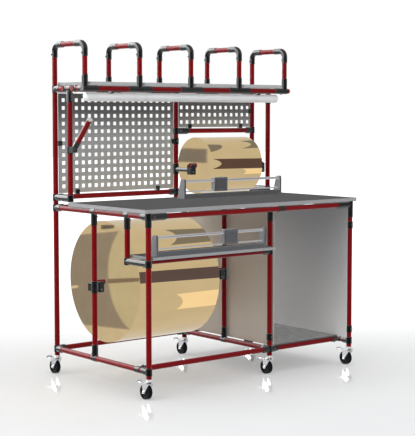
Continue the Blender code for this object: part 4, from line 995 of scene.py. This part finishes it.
class PACKING_OT_cradles(bpy.types.Operator):
    """Build the cradles that carry the rolls' shafts"""

    bl_idname = "packing.cradles"
    bl_label = "Cradles"

    def execute(self, context):
        make_shells(post_cradle_shapes(0, 1), "big_roll_cradle_left")
        make_shells(post_cradle_shapes(BAY, -1), "big_roll_cradle_right")
        arms = arm_cradle_shapes(BOARD_X, BOARD_X) + arm_cradle_shapes(LENGTH - ROLL_ARM_INSET, LENGTH)
        make_shells(arms, "small_roll_cradles")
        return {"FINISHED"}


# Film cutters, measured from the low and high corners of their frames
BASE_TRIM = (0.003, 0.002)
BASE_DEPTH = 0.050
BASE_HEIGHT = 0.024
BASE_RIM = 0.006
BASE_DISH = 0.004
PLATE_WIDTH = 0.012
PLATE_HEAD = 0.034
PLATE_CORNER = 0.010
PLATE_CORNER_STEPS = 6
ROD_INSET = 0.006
ROD_PLACE = 0.019
ROD_DROP = 0.013
BORE_SIDES = 24
GUIDE_RISE = 0.038
CUTTER_RODS = ((0.0075, 24), (0.004, 20))  # radius and sides of the rod and of the guide rod
PLATE_BOLT = 0.0045
PLATE_BOLT_SINK = 0.0035
CUTTER_EDGE = 0.0012
CARRIAGE_EDGE = 0.003
CARRIAGE_RIM = 0.008
CARRIAGE_DISH = 0.001
CARRIAGE_PLAY = 0.0004
CARRIAGE_OVERRUN = 0.01


def end_plate(x, low, high):
    """One of a cutter's end plates, drawn in towards a rounded head."""
    plate = add_block((x, low.y, low.z), (x + PLATE_WIDTH, high.y, high.z))
    for vertex in plate.data.vertices:
        if vertex.co.z > high.z - NEAR and vertex.co.y > high.y - NEAR:
            vertex.co.y = low.y + PLATE_HEAD

    def along_head(first, second):
        return min(first.z, second.z) > high.z - NEAR and abs(first.x - second.x) > NEAR

    round_corners(plate, along_head, PLATE_CORNER, PLATE_CORNER_STEPS)
    return plate


def cutter_frame(name, low, high, axes):
    """A cutter's base and end plates, with a bolt at each end of its rods."""
    base = add_block((low.x + BASE_TRIM[0], low.y + BASE_TRIM[1], low.z),
                     (high.x - BASE_TRIM[0], low.y + BASE_DEPTH, low.z + BASE_HEIGHT))
    edit(base, facing(UP), inset(BASE_RIM), push(DOWN * BASE_DISH))
    shapes = [base] + [end_plate(x, low, high) for x in (low.x, high.x - PLATE_WIDTH)]
    for x, way in ((low.x, LEFT), (high.x, RIGHT)):
        for y, z in axes:
            shapes.append(add_bolt(Vector((x, y, z)) - way * PLATE_BOLT_SINK, way, PLATE_BOLT))
    make_piece(shapes, name + "_body", "cutter", CUTTER_EDGE, name + "_frame")


def cutter_carriage(name, axes, body):
    """A cutter's sliding carriage, bored for the rods that it runs on."""
    low, high, _ = cast(name + "_carriage")
    block = add_block(low, high)
    soften(block, CARRIAGE_EDGE, segments=3)
    edit(block, facing(FRONT), inset(CARRIAGE_RIM), push(REAR * CARRIAGE_DISH))
    bores = [add_level_rod(low.x - CARRIAGE_OVERRUN, high.x + CARRIAGE_OVERRUN, y, z,
                           radius + CARRIAGE_PLAY, BORE_SIDES)
             for (y, z), (radius, _) in zip(axes, CUTTER_RODS)]
    cut_away(block, join(bores, "tool"))
    make_piece([block], name + "_knife_carriage", "cutter", node=name + "_carriage", body=body)


def add_cutter(name, carriage_body):
    """Build one film cutter: its frame, its rods and its sliding carriage."""
    low, high, _ = cast(name + "_frame")
    rod_y = low.y + ROD_PLACE
    axes = ((rod_y, high.z - ROD_DROP), (rod_y, low.z + GUIDE_RISE))
    cutter_frame(name, low, high, axes)
    rods = [add_level_rod(low.x + ROD_INSET, high.x - ROD_INSET, y, z, radius, sides)
            for (y, z), (radius, sides) in zip(axes, CUTTER_RODS)]
    make_piece(rods, name + "_rods", "bright_steel")
    cutter_carriage(name, axes, carriage_body)


class PACKING_OT_cutters(bpy.types.Operator):
    """Build the two film cutters"""

    bl_idname = "packing.cutters"
    bl_label = "Film cutters"

    def execute(self, context):
        add_cutter("upper_cutter", "upper_carriage")
        add_cutter("lower_cutter", "lower_carriage")
        return {"FINISHED"}


LAMP_RADIUS = 0.0235
LAMP_SIDES = 40
LAMP_ROUND = 0.019
LAMP_ROUND_STEPS = 8
LAMP_Y = 0.570
LAMP_HANGER_SHARES = (0.12, 0.88)
LAMP_HANGER_HALF = 0.009
LAMP_HANGER_FRONT = 0.004
LAMP_HANGER_LAP = 0.004
LAMP_HANGER_TOP = 0.0145
LAMP_HANGER_EDGE = 0.001


class PACKING_OT_lamp(bpy.types.Operator):
    """Build the tube lamp under the upper shelf"""

    bl_idname = "packing.lamp"
    bl_label = "Lamp"

    def execute(self, context):
        low, high, _ = cast("lamp")
        y, z = at(0, LAMP_Y, 0).y, low.z + LAMP_RADIUS
        tube = add_level_rod(low.x, high.x, y, z, LAMP_RADIUS, LAMP_SIDES)
        make_piece([tube], "lamp_tube", "frosted", LAMP_ROUND, "lamp",
                   segments=LAMP_ROUND_STEPS, angle=60)
        front = at(0, SHELF_Y, 0).y - LAMP_HANGER_FRONT
        foot = z + LAMP_RADIUS - LAMP_HANGER_LAP
        hangers = []
        for share in LAMP_HANGER_SHARES:
            x = low.x + (high.x - low.x) * share
            hangers.append(add_block((x - LAMP_HANGER_HALF, front, foot),
                                     (x + LAMP_HANGER_HALF, y, SHELF_Z - LAMP_HANGER_TOP)))
        straps = join(hangers, "lamp_hangers")
        soften(straps, LAMP_HANGER_EDGE)
        finish(straps, "clamp_black")
        return {"FINISHED"}


# Tool holder, measured from its pivot
HOLDER_STAND = 0.036
HOLDER_Z = 1.228
HOLDER_TILT = math.radians(46.6)
HOLDER_SIDES = 32
HOLDER_PIPE = (0.030, 0.222)
HOLDER_PIPE_EDGE = 0.001
HOLDER_CAP = (0.217, 0.225)
HOLDER_CAP_RADIUS = 0.0146
HOLDER_CAP_EDGE = 0.002
KNUCKLE_RADIUS = 0.0145
KNUCKLE_HALF = 0.006
TONGUE_RADIUS = 0.011
TONGUE_REACH = 0.014
HOLDER_SOCKET = (0.0225, 0.062)
HOLDER_SOCKET_RADIUS = 0.0163
HOLDER_CLAMP_HALF = 0.020
HOLDER_CHEEK = (0.0064, 0.0134)
HOLDER_CHEEK_RADIUS = 0.015


def knuckle_shapes(pivot, way):
    """The knuckle that turns between the clamp's cheeks, its tongue and the pipe's socket."""
    discs = [add_rod(place + LEFT * KNUCKLE_HALF, place + RIGHT * KNUCKLE_HALF, radius, HOLDER_SIDES)
             for place, radius in ((pivot, KNUCKLE_RADIUS), (pivot + way * TONGUE_REACH, TONGUE_RADIUS))]
    start, end = (pivot + way * reach for reach in HOLDER_SOCKET)
    return discs + [add_sleeve(start, end, HOLDER_SOCKET_RADIUS)]


def holder_clamp_shapes(pivot):
    """The clamp on the upright with the two cheeks that hold the knuckle."""
    upright = at(0, UPRIGHT_Y, HOLDER_Z)
    shapes = [add_sleeve(upright + DOWN * HOLDER_CLAMP_HALF, upright + UP * HOLDER_CLAMP_HALF,
                         sizes().clamp_radius)]
    for way in (LEFT, RIGHT):
        inner, outer = (way * reach for reach in HOLDER_CHEEK)
        shapes += [add_block(pivot + inner + DOWN * HOLDER_CHEEK_RADIUS,
                             upright + outer + UP * HOLDER_CHEEK_RADIUS),
                   add_rod(pivot + inner, pivot + outer, HOLDER_CHEEK_RADIUS, HOLDER_SIDES),
                   add_bolt(pivot + outer, way, sizes().bolt_radius)]
    return shapes


class PACKING_OT_holder(bpy.types.Operator):
    """Build the tilting tool holder on the left upright"""

    bl_idname = "packing.holder"
    bl_label = "Tool holder"

    def execute(self, context):
        pivot = at(0, UPRIGHT_Y - HOLDER_STAND, HOLDER_Z)
        way = FRONT * math.cos(HOLDER_TILT) + UP * math.sin(HOLDER_TILT)
        start, end = (pivot + way * reach for reach in HOLDER_PIPE)
        pipe = add_rod(start, end, sizes().pipe_radius, sizes().pipe_sides)
        make_piece([pipe], "holder_pipe", "pipe_red", HOLDER_PIPE_EDGE, "holder_arm",
                   "holder_arm")
        start, end = (pivot + way * reach for reach in HOLDER_CAP)
        cap = add_rod(start, end, HOLDER_CAP_RADIUS, HOLDER_SIDES)
        make_piece([cap], "holder_cap", "grey_plastic", HOLDER_CAP_EDGE, body="holder_arm")
        make_shells(knuckle_shapes(pivot, way), "holder_knuckle", "holder_arm")
        make_shells(holder_clamp_shapes(pivot), "holder_clamp")
        return {"FINISHED"}


# Castors, measured from the floor under the stem and from the axle
AXLE_TRAIL = 0.024
WHEEL_RADIUS = 0.0375
WHEEL_HALF = 0.012
WHEEL_SIDES = 56
TYRE_RIM = 0.0095
WEB_RING = 0.0165
WEB_DEPTH = 0.006
HUB_RIM = 0.006
HUB_DISH = 0.002
WHEEL_EDGE = 0.002
CROWN_HEIGHTS = (0.082, 0.0925)
CROWN_RADIUS = 0.022
CROWN_SIDES = 40
CROWN_PLATE_CORNERS = ((-0.0165, -0.020, 0.0795), (0.0165, 0.030, 0.0845))
FORK_CHEEK_FOOT_RADIUS = 0.009
FORK_CHEEK_SIDES = 24
FORK_CHEEK_PLACE = 0.01525
FORK_CHEEK_HEAD = 0.082
FORK_CHEEK_HEAD_PLACE = 0.0105
FORK_CHEEK_HEAD_HALF = 0.0305
FORK_CHEEK_SHOULDER_HALF = 0.0086
FORK_CHEEK_RISE_SHARE = 0.3
FORK_CHEEK_THICKNESS = 0.0025
AXLE_BOLT_PLACE = 0.0165
AXLE_BOLT = 0.0065
STEM_COLLAR_HEIGHTS = (0.0925, 0.1035)
STEM_COLLAR_RADIUS = 0.0158
STEM_COLLAR_SIDES = 36
PEDAL_HALF = 0.0135
PEDAL_START = 0.004
PEDAL_NECK_END = 0.017
PEDAL_HEIGHTS = (0.005, 0.008)
PEDAL_TREAD_START = 0.013
PEDAL_TREAD_INSET = 0.004
PEDAL_TREAD_RISE = 0.0008
PEDAL_LIP = 0.003
PEDAL_HUB_HALF = 0.0137
PEDAL_HUB_RADIUS = 0.004
PEDAL_HUB_SIDES = 24
PEDAL_EDGE = 0.0005


def add_wheel(name, body):
    """Add a castor's tyre and hub about its axle."""
    _, _, middle = cast("wheel_" + name)
    tyre = add_rod(middle + LEFT * WHEEL_HALF, middle + RIGHT * WHEEL_HALF, WHEEL_RADIUS, WHEEL_SIDES)
    for way in (LEFT, RIGHT):
        edit(tyre, facing(way), inset(TYRE_RIM), push(-way * WEB_DEPTH), inset(WEB_RING),
             push(way * WEB_DEPTH), inset(HUB_RIM), push(-way * HUB_DISH))
    make_piece([tyre], f"wheel_{name}_tyre", "rubber", WHEEL_EDGE, "wheel_" + name, body,
               segments=3)


def fork_cheek(place, axle, way):
    """One side of a castor's fork: a round foot at the axle, widened towards the crown."""
    spread = FORK_CHEEK_HEAD_HALF / FORK_CHEEK_SHOULDER_HALF
    cheek = add_disc(axle + way * FORK_CHEEK_PLACE, RIGHT, FORK_CHEEK_FOOT_RADIUS, FORK_CHEEK_SIDES)
    for vertex in cheek.data.vertices:
        if vertex.co.z - axle.z > FORK_CHEEK_RISE_SHARE * FORK_CHEEK_FOOT_RADIUS:
            vertex.co.y = place.y + FORK_CHEEK_HEAD_PLACE + (vertex.co.y - axle.y) * spread
            vertex.co.z = FORK_CHEEK_HEAD
    edit(cheek, lambda face: True, merge)
    apply_modifier(cheek, "SOLIDIFY", thickness=FORK_CHEEK_THICKNESS, offset=0)
    return cheek


def add_fork(name, x, y, body):
    """Add a castor's fork with its crown, bearing, axle bolts and collar."""
    place = at(x, y, 0)
    axle = at(x, y + AXLE_TRAIL, WHEEL_RADIUS)
    foot, head = (place + UP * height for height in CROWN_HEIGHTS)
    shapes = [add_rod(foot, head, CROWN_RADIUS, CROWN_SIDES)]
    shapes.append(add_block(*(place + Vector(corner) for corner in CROWN_PLATE_CORNERS)))
    for way in (LEFT, RIGHT):
        shapes.append(fork_cheek(place, axle, way))
        shapes.append(add_bolt(axle + way * AXLE_BOLT_PLACE, way, AXLE_BOLT))
    make_piece(shapes, f"fork_{name}_shell", "zinc", SHELL_EDGE, "fork_" + name, body)
    foot, head = (place + UP * height for height in STEM_COLLAR_HEIGHTS)
    collar = add_rod(foot, head, STEM_COLLAR_RADIUS, STEM_COLLAR_SIDES)
    make_piece([collar], f"fork_{name}_collar", "white_plastic", ROD_EDGE, body=body)


def add_pedal(name, body):
    """Add a castor's brake pedal, raised where the foot presses."""
    low, high, middle = cast("pedal_" + name)
    under, top = (low.z + rise for rise in PEDAL_HEIGHTS)
    neck = add_block((middle.x - PEDAL_HALF, low.y + PEDAL_START, under),
                     (middle.x + PEDAL_HALF, low.y + PEDAL_NECK_END, top))
    tread = add_block((low.x, low.y + PEDAL_TREAD_START, under), (high.x, high.y, top))
    edit(tread, facing(UP, share=0.9), inset(PEDAL_TREAD_INSET), push(UP * PEDAL_TREAD_RISE))
    lip = add_block((low.x, high.y - PEDAL_LIP, under), high)
    hub = add_level_rod(middle.x - PEDAL_HUB_HALF, middle.x + PEDAL_HUB_HALF, low.y + PEDAL_HUB_RADIUS,
                        low.z + PEDAL_HUB_RADIUS, PEDAL_HUB_RADIUS, PEDAL_HUB_SIDES)
    make_piece([neck, tread, lip, hub], f"pedal_{name}_lever", "zinc", PEDAL_EDGE,
               "pedal_" + name, body)


class PACKING_OT_castors(bpy.types.Operator):
    """Build the six castors"""

    bl_idname = "packing.castors"
    bl_label = "Castors"

    def execute(self, context):
        for name, (x, y) in CASTORS.items():
            add_fork(name, x, y, "castor_" + name)
            add_wheel(name, "wheel_" + name)
            add_pedal(name, "pedal_" + name)
        return {"FINISHED"}


# Studio: what the camera, the mirror-bright film and the lamps meet
CAMERA_PLACE = at(-3.7364, -4.9897, 1.4162)
CAMERA_YAW = math.radians(39.50)
CAMERA_PITCH = math.radians(4.66)
SENSOR_WIDTH = 36
FOCAL_PIXELS = 1270.2
PHOTO_HEIGHT = 436
FLOOR_WIDTH = 60
VIEW_END = 200
WORLD_STRENGTH = 0.70
PALE_SKY = (0.80, 0.795, 0.785)
DARK_SIDE = (0.10, 0.09, 0.08)
SOFT_BOX = (8.0, 8.0, 8.0)
DARK_SIDE_ZONE = ((-0.682, -0.731, 0), 0.42, -0.45, 0.30)
SOFT_BOX_ZONE = ((-0.72, 0.69, 0), 0.45, 0.02, 0.80)
ZONE_EDGE = 0.03
ZONE_SIDE_EDGE = 0.07
ZONE_END = 2.0
FLOOR_TONES = ((0.700, 0.712, 0.724), (0.715, 0.727, 0.739))
FLOOR_CLOUD_SCALE = 2
FLOOR_ROUGHNESS = 0.03
FLOOR_GLOSS = 0.5
FLOOR_FADE = (-0.5, 4.5)
FLOOR_LIFT = 0.70

# Soft lamps: name, place, target, width and power
LIGHTS = (
    ("left_light", (-6.0, 0.5, 4.5), (0, 0, 0.9), 4, 160),
    ("front_light", (1.0, -7.0, 4.5), (0, 0, 0.9), 4, 90),
    ("top_light", (0, 0.2, 6.0), (0, 0, 0), 6, 180),
)

# Streaks on the films' round sides, each mirrored from a card at a reach from the film. A corner
# is a share along the roll from its left end and an angle round its axis from the rear, in degrees
CARD_REACH = 2.0
BAND, BAND_SMALL = (0.15, 0.13, 0.19), (0.15, 0.11, 0.14)
BRIGHT = (1.30, 1.20, 1.05)
TOP = (0.29, 0.31, 0.36)
SIDE_STREAKS = (
    ("card_band_big", "big_roll", BAND, ((-0.05, 165.5), (1.18, 167.5), (1.14, 178.5), (-0.03, 176))),
    ("card_band_small", "small_roll", BAND_SMALL, ((-0.01, 165), (1.29, 167), (1.29, 187), (-0.03, 185.5))),
    ("card_bright_big", "big_roll", BRIGHT, ((0.45, 189.5), (1.06, 189.5), (1.07, 206), (0.49, 205.5))),
    ("card_bright_small", "small_roll", BRIGHT, ((0.60, 187), (1.29, 188.5), (1.29, 198.5), (0.62, 198.5))),
    ("card_top_big", "big_roll", TOP, ((0.51, 122.5), (1.0, 124.5), (1.0, 141.5), (0.47, 142))),
    ("card_top_small", "small_roll", TOP, ((0.70, 121), (1.07, 118), (1.03, 142.5), (0.63, 143.5))),
)

# Streaks on the rolls' left ends, each mirrored from a card that stands at a place left of the
# table. A corner is given from the roll's axis, as shares of its radius to the rear and up
CARD_WALL = -1.50
WALL_BACK, WALL_FRONT = CARD_WALL - 0.02, CARD_WALL + 0.01
END_STREAKS = (
    ("card_side_big", "big_roll", (0.39, 0.39, 0.46), WALL_BACK,
     ((-1.20, -0.67), (1.45, -0.85), (1.45, 0.63), (-1.20, 0.96))),
    ("card_shaft_big", "big_roll", (0.30, 0.26, 0.28), WALL_FRONT,
     ((-0.10, 0.055), (-0.995, 0.165), (-0.995, 0.105), (-0.10, -0.02))),
    ("card_dark_side", "big_roll", (0.16, 0.16, 0.20), WALL_FRONT,
     ((0.075, 0.93), (-0.295, 0.955), (-0.29, 0.90), (0.075, 0.855))),
    ("card_light_side", "big_roll", (1.00, 0.98, 0.94), WALL_FRONT,
     ((0.98, -0.175), (0.77, -0.135), (0.77, -0.18), (0.985, -0.22))),
    ("card_side_small", "small_roll", (0.29, 0.30, 0.38), CARD_WALL,
     ((-0.64, 0.105), (1.205, 0.105), (1.205, 0.60), (-0.64, 0.60))),
)
DISC_PLACE = (-1.04, 0.167)
DISC_SHARE = 0.926
DISC_SIDES = 96
DISC_TONE = (0.72, 0.74, 0.70)


def add_area_light(name, place, target, width, power):
    """Add a soft box lamp that looks at a target."""
    light = bpy.data.lights.new(name, "AREA")
    light.shape = "RECTANGLE"
    light.size = light.size_y = width
    light.energy = power
    lamp = bpy.data.objects.new(name, light)
    lamp.visible_glossy = False
    lamp.location = place
    lamp.rotation_euler = (Vector(target) - Vector(place)).to_track_quat("-Z", "Y").to_euler()
    bpy.context.scene.collection.objects.link(lamp)


def smooth_step(tree, source, start, end, first=0.0, last=1.0):
    """A value that passes smoothly from one to another between two bounds of its source."""
    step = add_node(tree, "MapRange", {"Value": source, "From Min": start, "From Max": end, "To Min": first,
                                       "To Max": last}, interpolation_type="SMOOTHSTEP")
    return step.outputs["Result"]


def band(tree, source, low, high, edge):
    """A value that is 1 while its source lies between two bounds, with soft edges."""
    return times(tree, smooth_step(tree, source, low - edge, low + edge),
                 smooth_step(tree, source, high - edge, high + edge, 1.0, 0.0))


def sky_zone(tree, sight, way, reach, low, high, behind, colour):
    """Lay a colour over the sky within a reach of a level way, between two heights of view."""
    split = add_node(tree, "SeparateXYZ", {"Vector": sight})
    zone = times(tree, band(tree, split.outputs["Z"], low, high, ZONE_EDGE),
                 band(tree, toward(tree, sight, way), reach, ZONE_END, ZONE_SIDE_EDGE))
    return blend(tree, zone, behind, colour)


def reflected_sky(tree):
    """What glossy faces see: pale all round, dark in front, with a soft box behind on the left."""
    sight = add_node(tree, "TexCoord").outputs["Generated"]
    dark = sky_zone(tree, sight, *DARK_SIDE_ZONE, PALE_SKY, DARK_SIDE)
    return sky_zone(tree, sight, *SOFT_BOX_ZONE, dark, SOFT_BOX)


def build_world():
    """Pale studio surroundings: white to the camera, zoned to glossy faces, even to the rest."""
    world = bpy.data.worlds.new("Studio")
    bpy.context.scene.world = world
    world.use_nodes = True
    tree = world.node_tree
    tree.nodes.clear()
    path = add_node(tree, "LightPath")
    soft, shiny, seen = (
        add_node(tree, "Background", {"Color": colour, "Strength": strength}).outputs["Background"]
        for colour, strength in (((1, 1, 1), WORLD_STRENGTH), (reflected_sky(tree), 1.0), ((1, 1, 1), 1.0)))
    unseen = add_node(tree, "MixShader", {"Fac": path.outputs["Is Glossy Ray"], 1: soft, 2: shiny})
    whole = add_node(tree, "MixShader", {"Fac": path.outputs["Is Camera Ray"], 1: unseen.outputs["Shader"],
                                         2: seen})
    add_node(tree, "OutputWorld", {"Surface": whole.outputs["Shader"]})


def floor_material():
    """White studio floor with a faint gloss, which fades to white far off and keeps the shadow."""
    white = bpy.data.materials.new("studio_floor")
    tree, shader = shader_of(white)
    cloud = pattern(tree, "TexNoise", FLOOR_CLOUD_SCALE, Detail=2.0)
    feed(tree, shader.inputs["Base Color"], ramp(tree, cloud.outputs["Fac"], *FLOOR_TONES))
    feed(tree, shader.inputs["Roughness"], FLOOR_ROUGHNESS)
    feed(tree, shader.inputs["Specular IOR Level"], FLOOR_GLOSS)
    place = add_node(tree, "TexCoord")
    away = toward(tree, place.outputs["Object"], (math.sin(CAMERA_YAW), math.cos(CAMERA_YAW), 0))
    far = smooth_step(tree, away, *FLOOR_FADE, 0.0, FLOOR_LIFT)
    seen = add_node(tree, "LightPath").outputs["Is Camera Ray"]
    lift = add_node(tree, "Emission", {"Strength": times(tree, far, seen)})
    both = add_node(tree, "AddShader", {0: shader.outputs["BSDF"], 1: lift.outputs["Emission"]})
    feed(tree, tree.nodes["Material Output"].inputs["Surface"], both.outputs["Shader"])
    return white


def finish_card(card, name, tone):
    """Give a studio card an even glow, which is seen in reflections alone."""
    card.name = name
    glow = bpy.data.materials.new(name)
    glow.use_nodes = True
    tree = glow.node_tree
    tree.nodes.clear()
    light = add_node(tree, "Emission", {"Color": tone})
    add_node(tree, "OutputMaterial", {"Surface": light.outputs["Emission"]})
    card.data.materials.append(glow)
    for ray in ("camera", "diffuse", "shadow", "transmission"):
        setattr(card, "visible_" + ray, False)


def add_card(name, tone, corners):
    """Add a studio card between four corners, given in turn round it."""
    deselect()
    bpy.ops.mesh.primitive_plane_add(size=1)
    card = bpy.context.object
    first, second, third, fourth = corners
    for vertex, corner in zip(card.data.vertices, (first, second, fourth, third)):
        vertex.co = corner
    finish_card(card, name, tone)


def side_mirrored(roll, share, angle):
    """The place that the camera sees mirrored at a spot on a roll's round side."""
    low, high, middle = cast(roll)
    turn = math.radians(angle)
    normal = REAR * math.cos(turn) + UP * math.sin(turn)
    spot = Vector((low.x + (high.x - low.x) * share, middle.y, middle.z)) + normal * (high.z - low.z) / 2
    return spot + (spot - CAMERA_PLACE).normalized().reflect(normal) * CARD_REACH


def end_mirrored(roll, wall, back, rise):
    """The place on a wall of cards that the camera sees mirrored at a spot on a roll's left end."""
    low, high, middle = cast(roll)
    radius = (high.z - low.z) / 2
    spot = Vector((low.x, middle.y + radius * back, middle.z + radius * rise))
    ray = (spot - CAMERA_PLACE).reflect(LEFT)
    return spot + ray * ((at(wall, 0, 0).x - spot.x) / ray.x)


def add_disc_card():
    """Add the pale round card that the big roll's left end mirrors before the darker one."""
    middle = end_mirrored("big_roll", CARD_WALL, *DISC_PLACE)
    edge = end_mirrored("big_roll", CARD_WALL, DISC_PLACE[0] + DISC_SHARE, DISC_PLACE[1])
    finish_card(add_disc(middle, RIGHT, (edge - middle).length, DISC_SIDES), "card_disc", DISC_TONE)


def add_camera():
    """Add the photograph's camera."""
    camera = bpy.data.objects.new("camera", bpy.data.cameras.new("camera"))
    bpy.context.scene.collection.objects.link(camera)
    camera.data.sensor_width = SENSOR_WIDTH
    camera.data.lens = FOCAL_PIXELS / PHOTO_HEIGHT * SENSOR_WIDTH
    camera.data.clip_end = VIEW_END
    camera.location = CAMERA_PLACE
    level = RIGHT * math.sin(CAMERA_YAW) + REAR * math.cos(CAMERA_YAW)
    look = level * math.cos(CAMERA_PITCH) + DOWN * math.sin(CAMERA_PITCH)
    camera.rotation_euler = look.to_track_quat("-Z", "Y").to_euler()
    bpy.context.scene.camera = camera


class PACKING_OT_stage(bpy.types.Operator):
    """Build the studio floor, lights and camera"""

    bl_idname = "packing.stage"
    bl_label = "Studio"

    def execute(self, context):
        deselect()
        bpy.ops.mesh.primitive_plane_add(size=FLOOR_WIDTH, location=(0, 0, 0))
        floor = bpy.context.object
        floor.name = "studio_floor"
        floor.data.materials.append(floor_material())
        keep_out_of_mirrors(floor)
        for name, roll, tone, spots in SIDE_STREAKS:
            add_card(name, tone, [side_mirrored(roll, *spot) for spot in spots])
        for name, roll, tone, wall, spots in END_STREAKS:
            add_card(name, tone, [end_mirrored(roll, wall, *spot) for spot in spots])
        add_disc_card()
        build_world()
        for light in LIGHTS:
            add_area_light(*light)
        add_camera()
        context.scene.view_settings.view_transform = "Standard"
        return {"FINISHED"}


STEPS = ("pipes", "clamps", "hoops", "boards", "panels", "rolls", "cradles", "cutters", "lamp", "holder",
         "castors", "stage")


class PACKING_PT_panel(bpy.types.Panel):
    """Lists the table's sizes, finishes and pieces"""

    bl_idname = "PACKING_PT_panel"
    bl_label = "Packing table"
    bl_space_type = "VIEW_3D"
    bl_region_type = "UI"
    bl_category = "Packing table"

    def draw(self, context):
        for group in (context.scene.packing_sizes, context.scene.packing_finishes):
            for key in group.bl_rna.properties.keys():
                if key not in ("rna_type", "name"):
                    self.layout.prop(group, key)
        for step in STEPS:
            self.layout.operator("packing." + step)


CLASSES = (FrameSizes, Finishes, PACKING_OT_pipes, PACKING_OT_clamps, PACKING_OT_hoops, PACKING_OT_boards,
           PACKING_OT_panels, PACKING_OT_rolls, PACKING_OT_cradles, PACKING_OT_cutters, PACKING_OT_lamp,
           PACKING_OT_holder, PACKING_OT_castors, PACKING_OT_stage, PACKING_PT_panel)


def register():
    """Register the classes and their settings."""
    for cls in CLASSES:
        bpy.utils.register_class(cls)
    bpy.types.Scene.packing_sizes = PointerProperty(type=FrameSizes)
    bpy.types.Scene.packing_finishes = PointerProperty(type=Finishes)


def unregister():
    """Remove the settings and the classes."""
    del bpy.types.Scene.packing_finishes
    del bpy.types.Scene.packing_sizes
    for cls in reversed(CLASSES):
        bpy.utils.unregister_class(cls)


def main():
    """Build every piece in order."""
    register()
    for step in STEPS:
        getattr(bpy.ops.packing, step)()


if __name__ == "__main__":
    main()
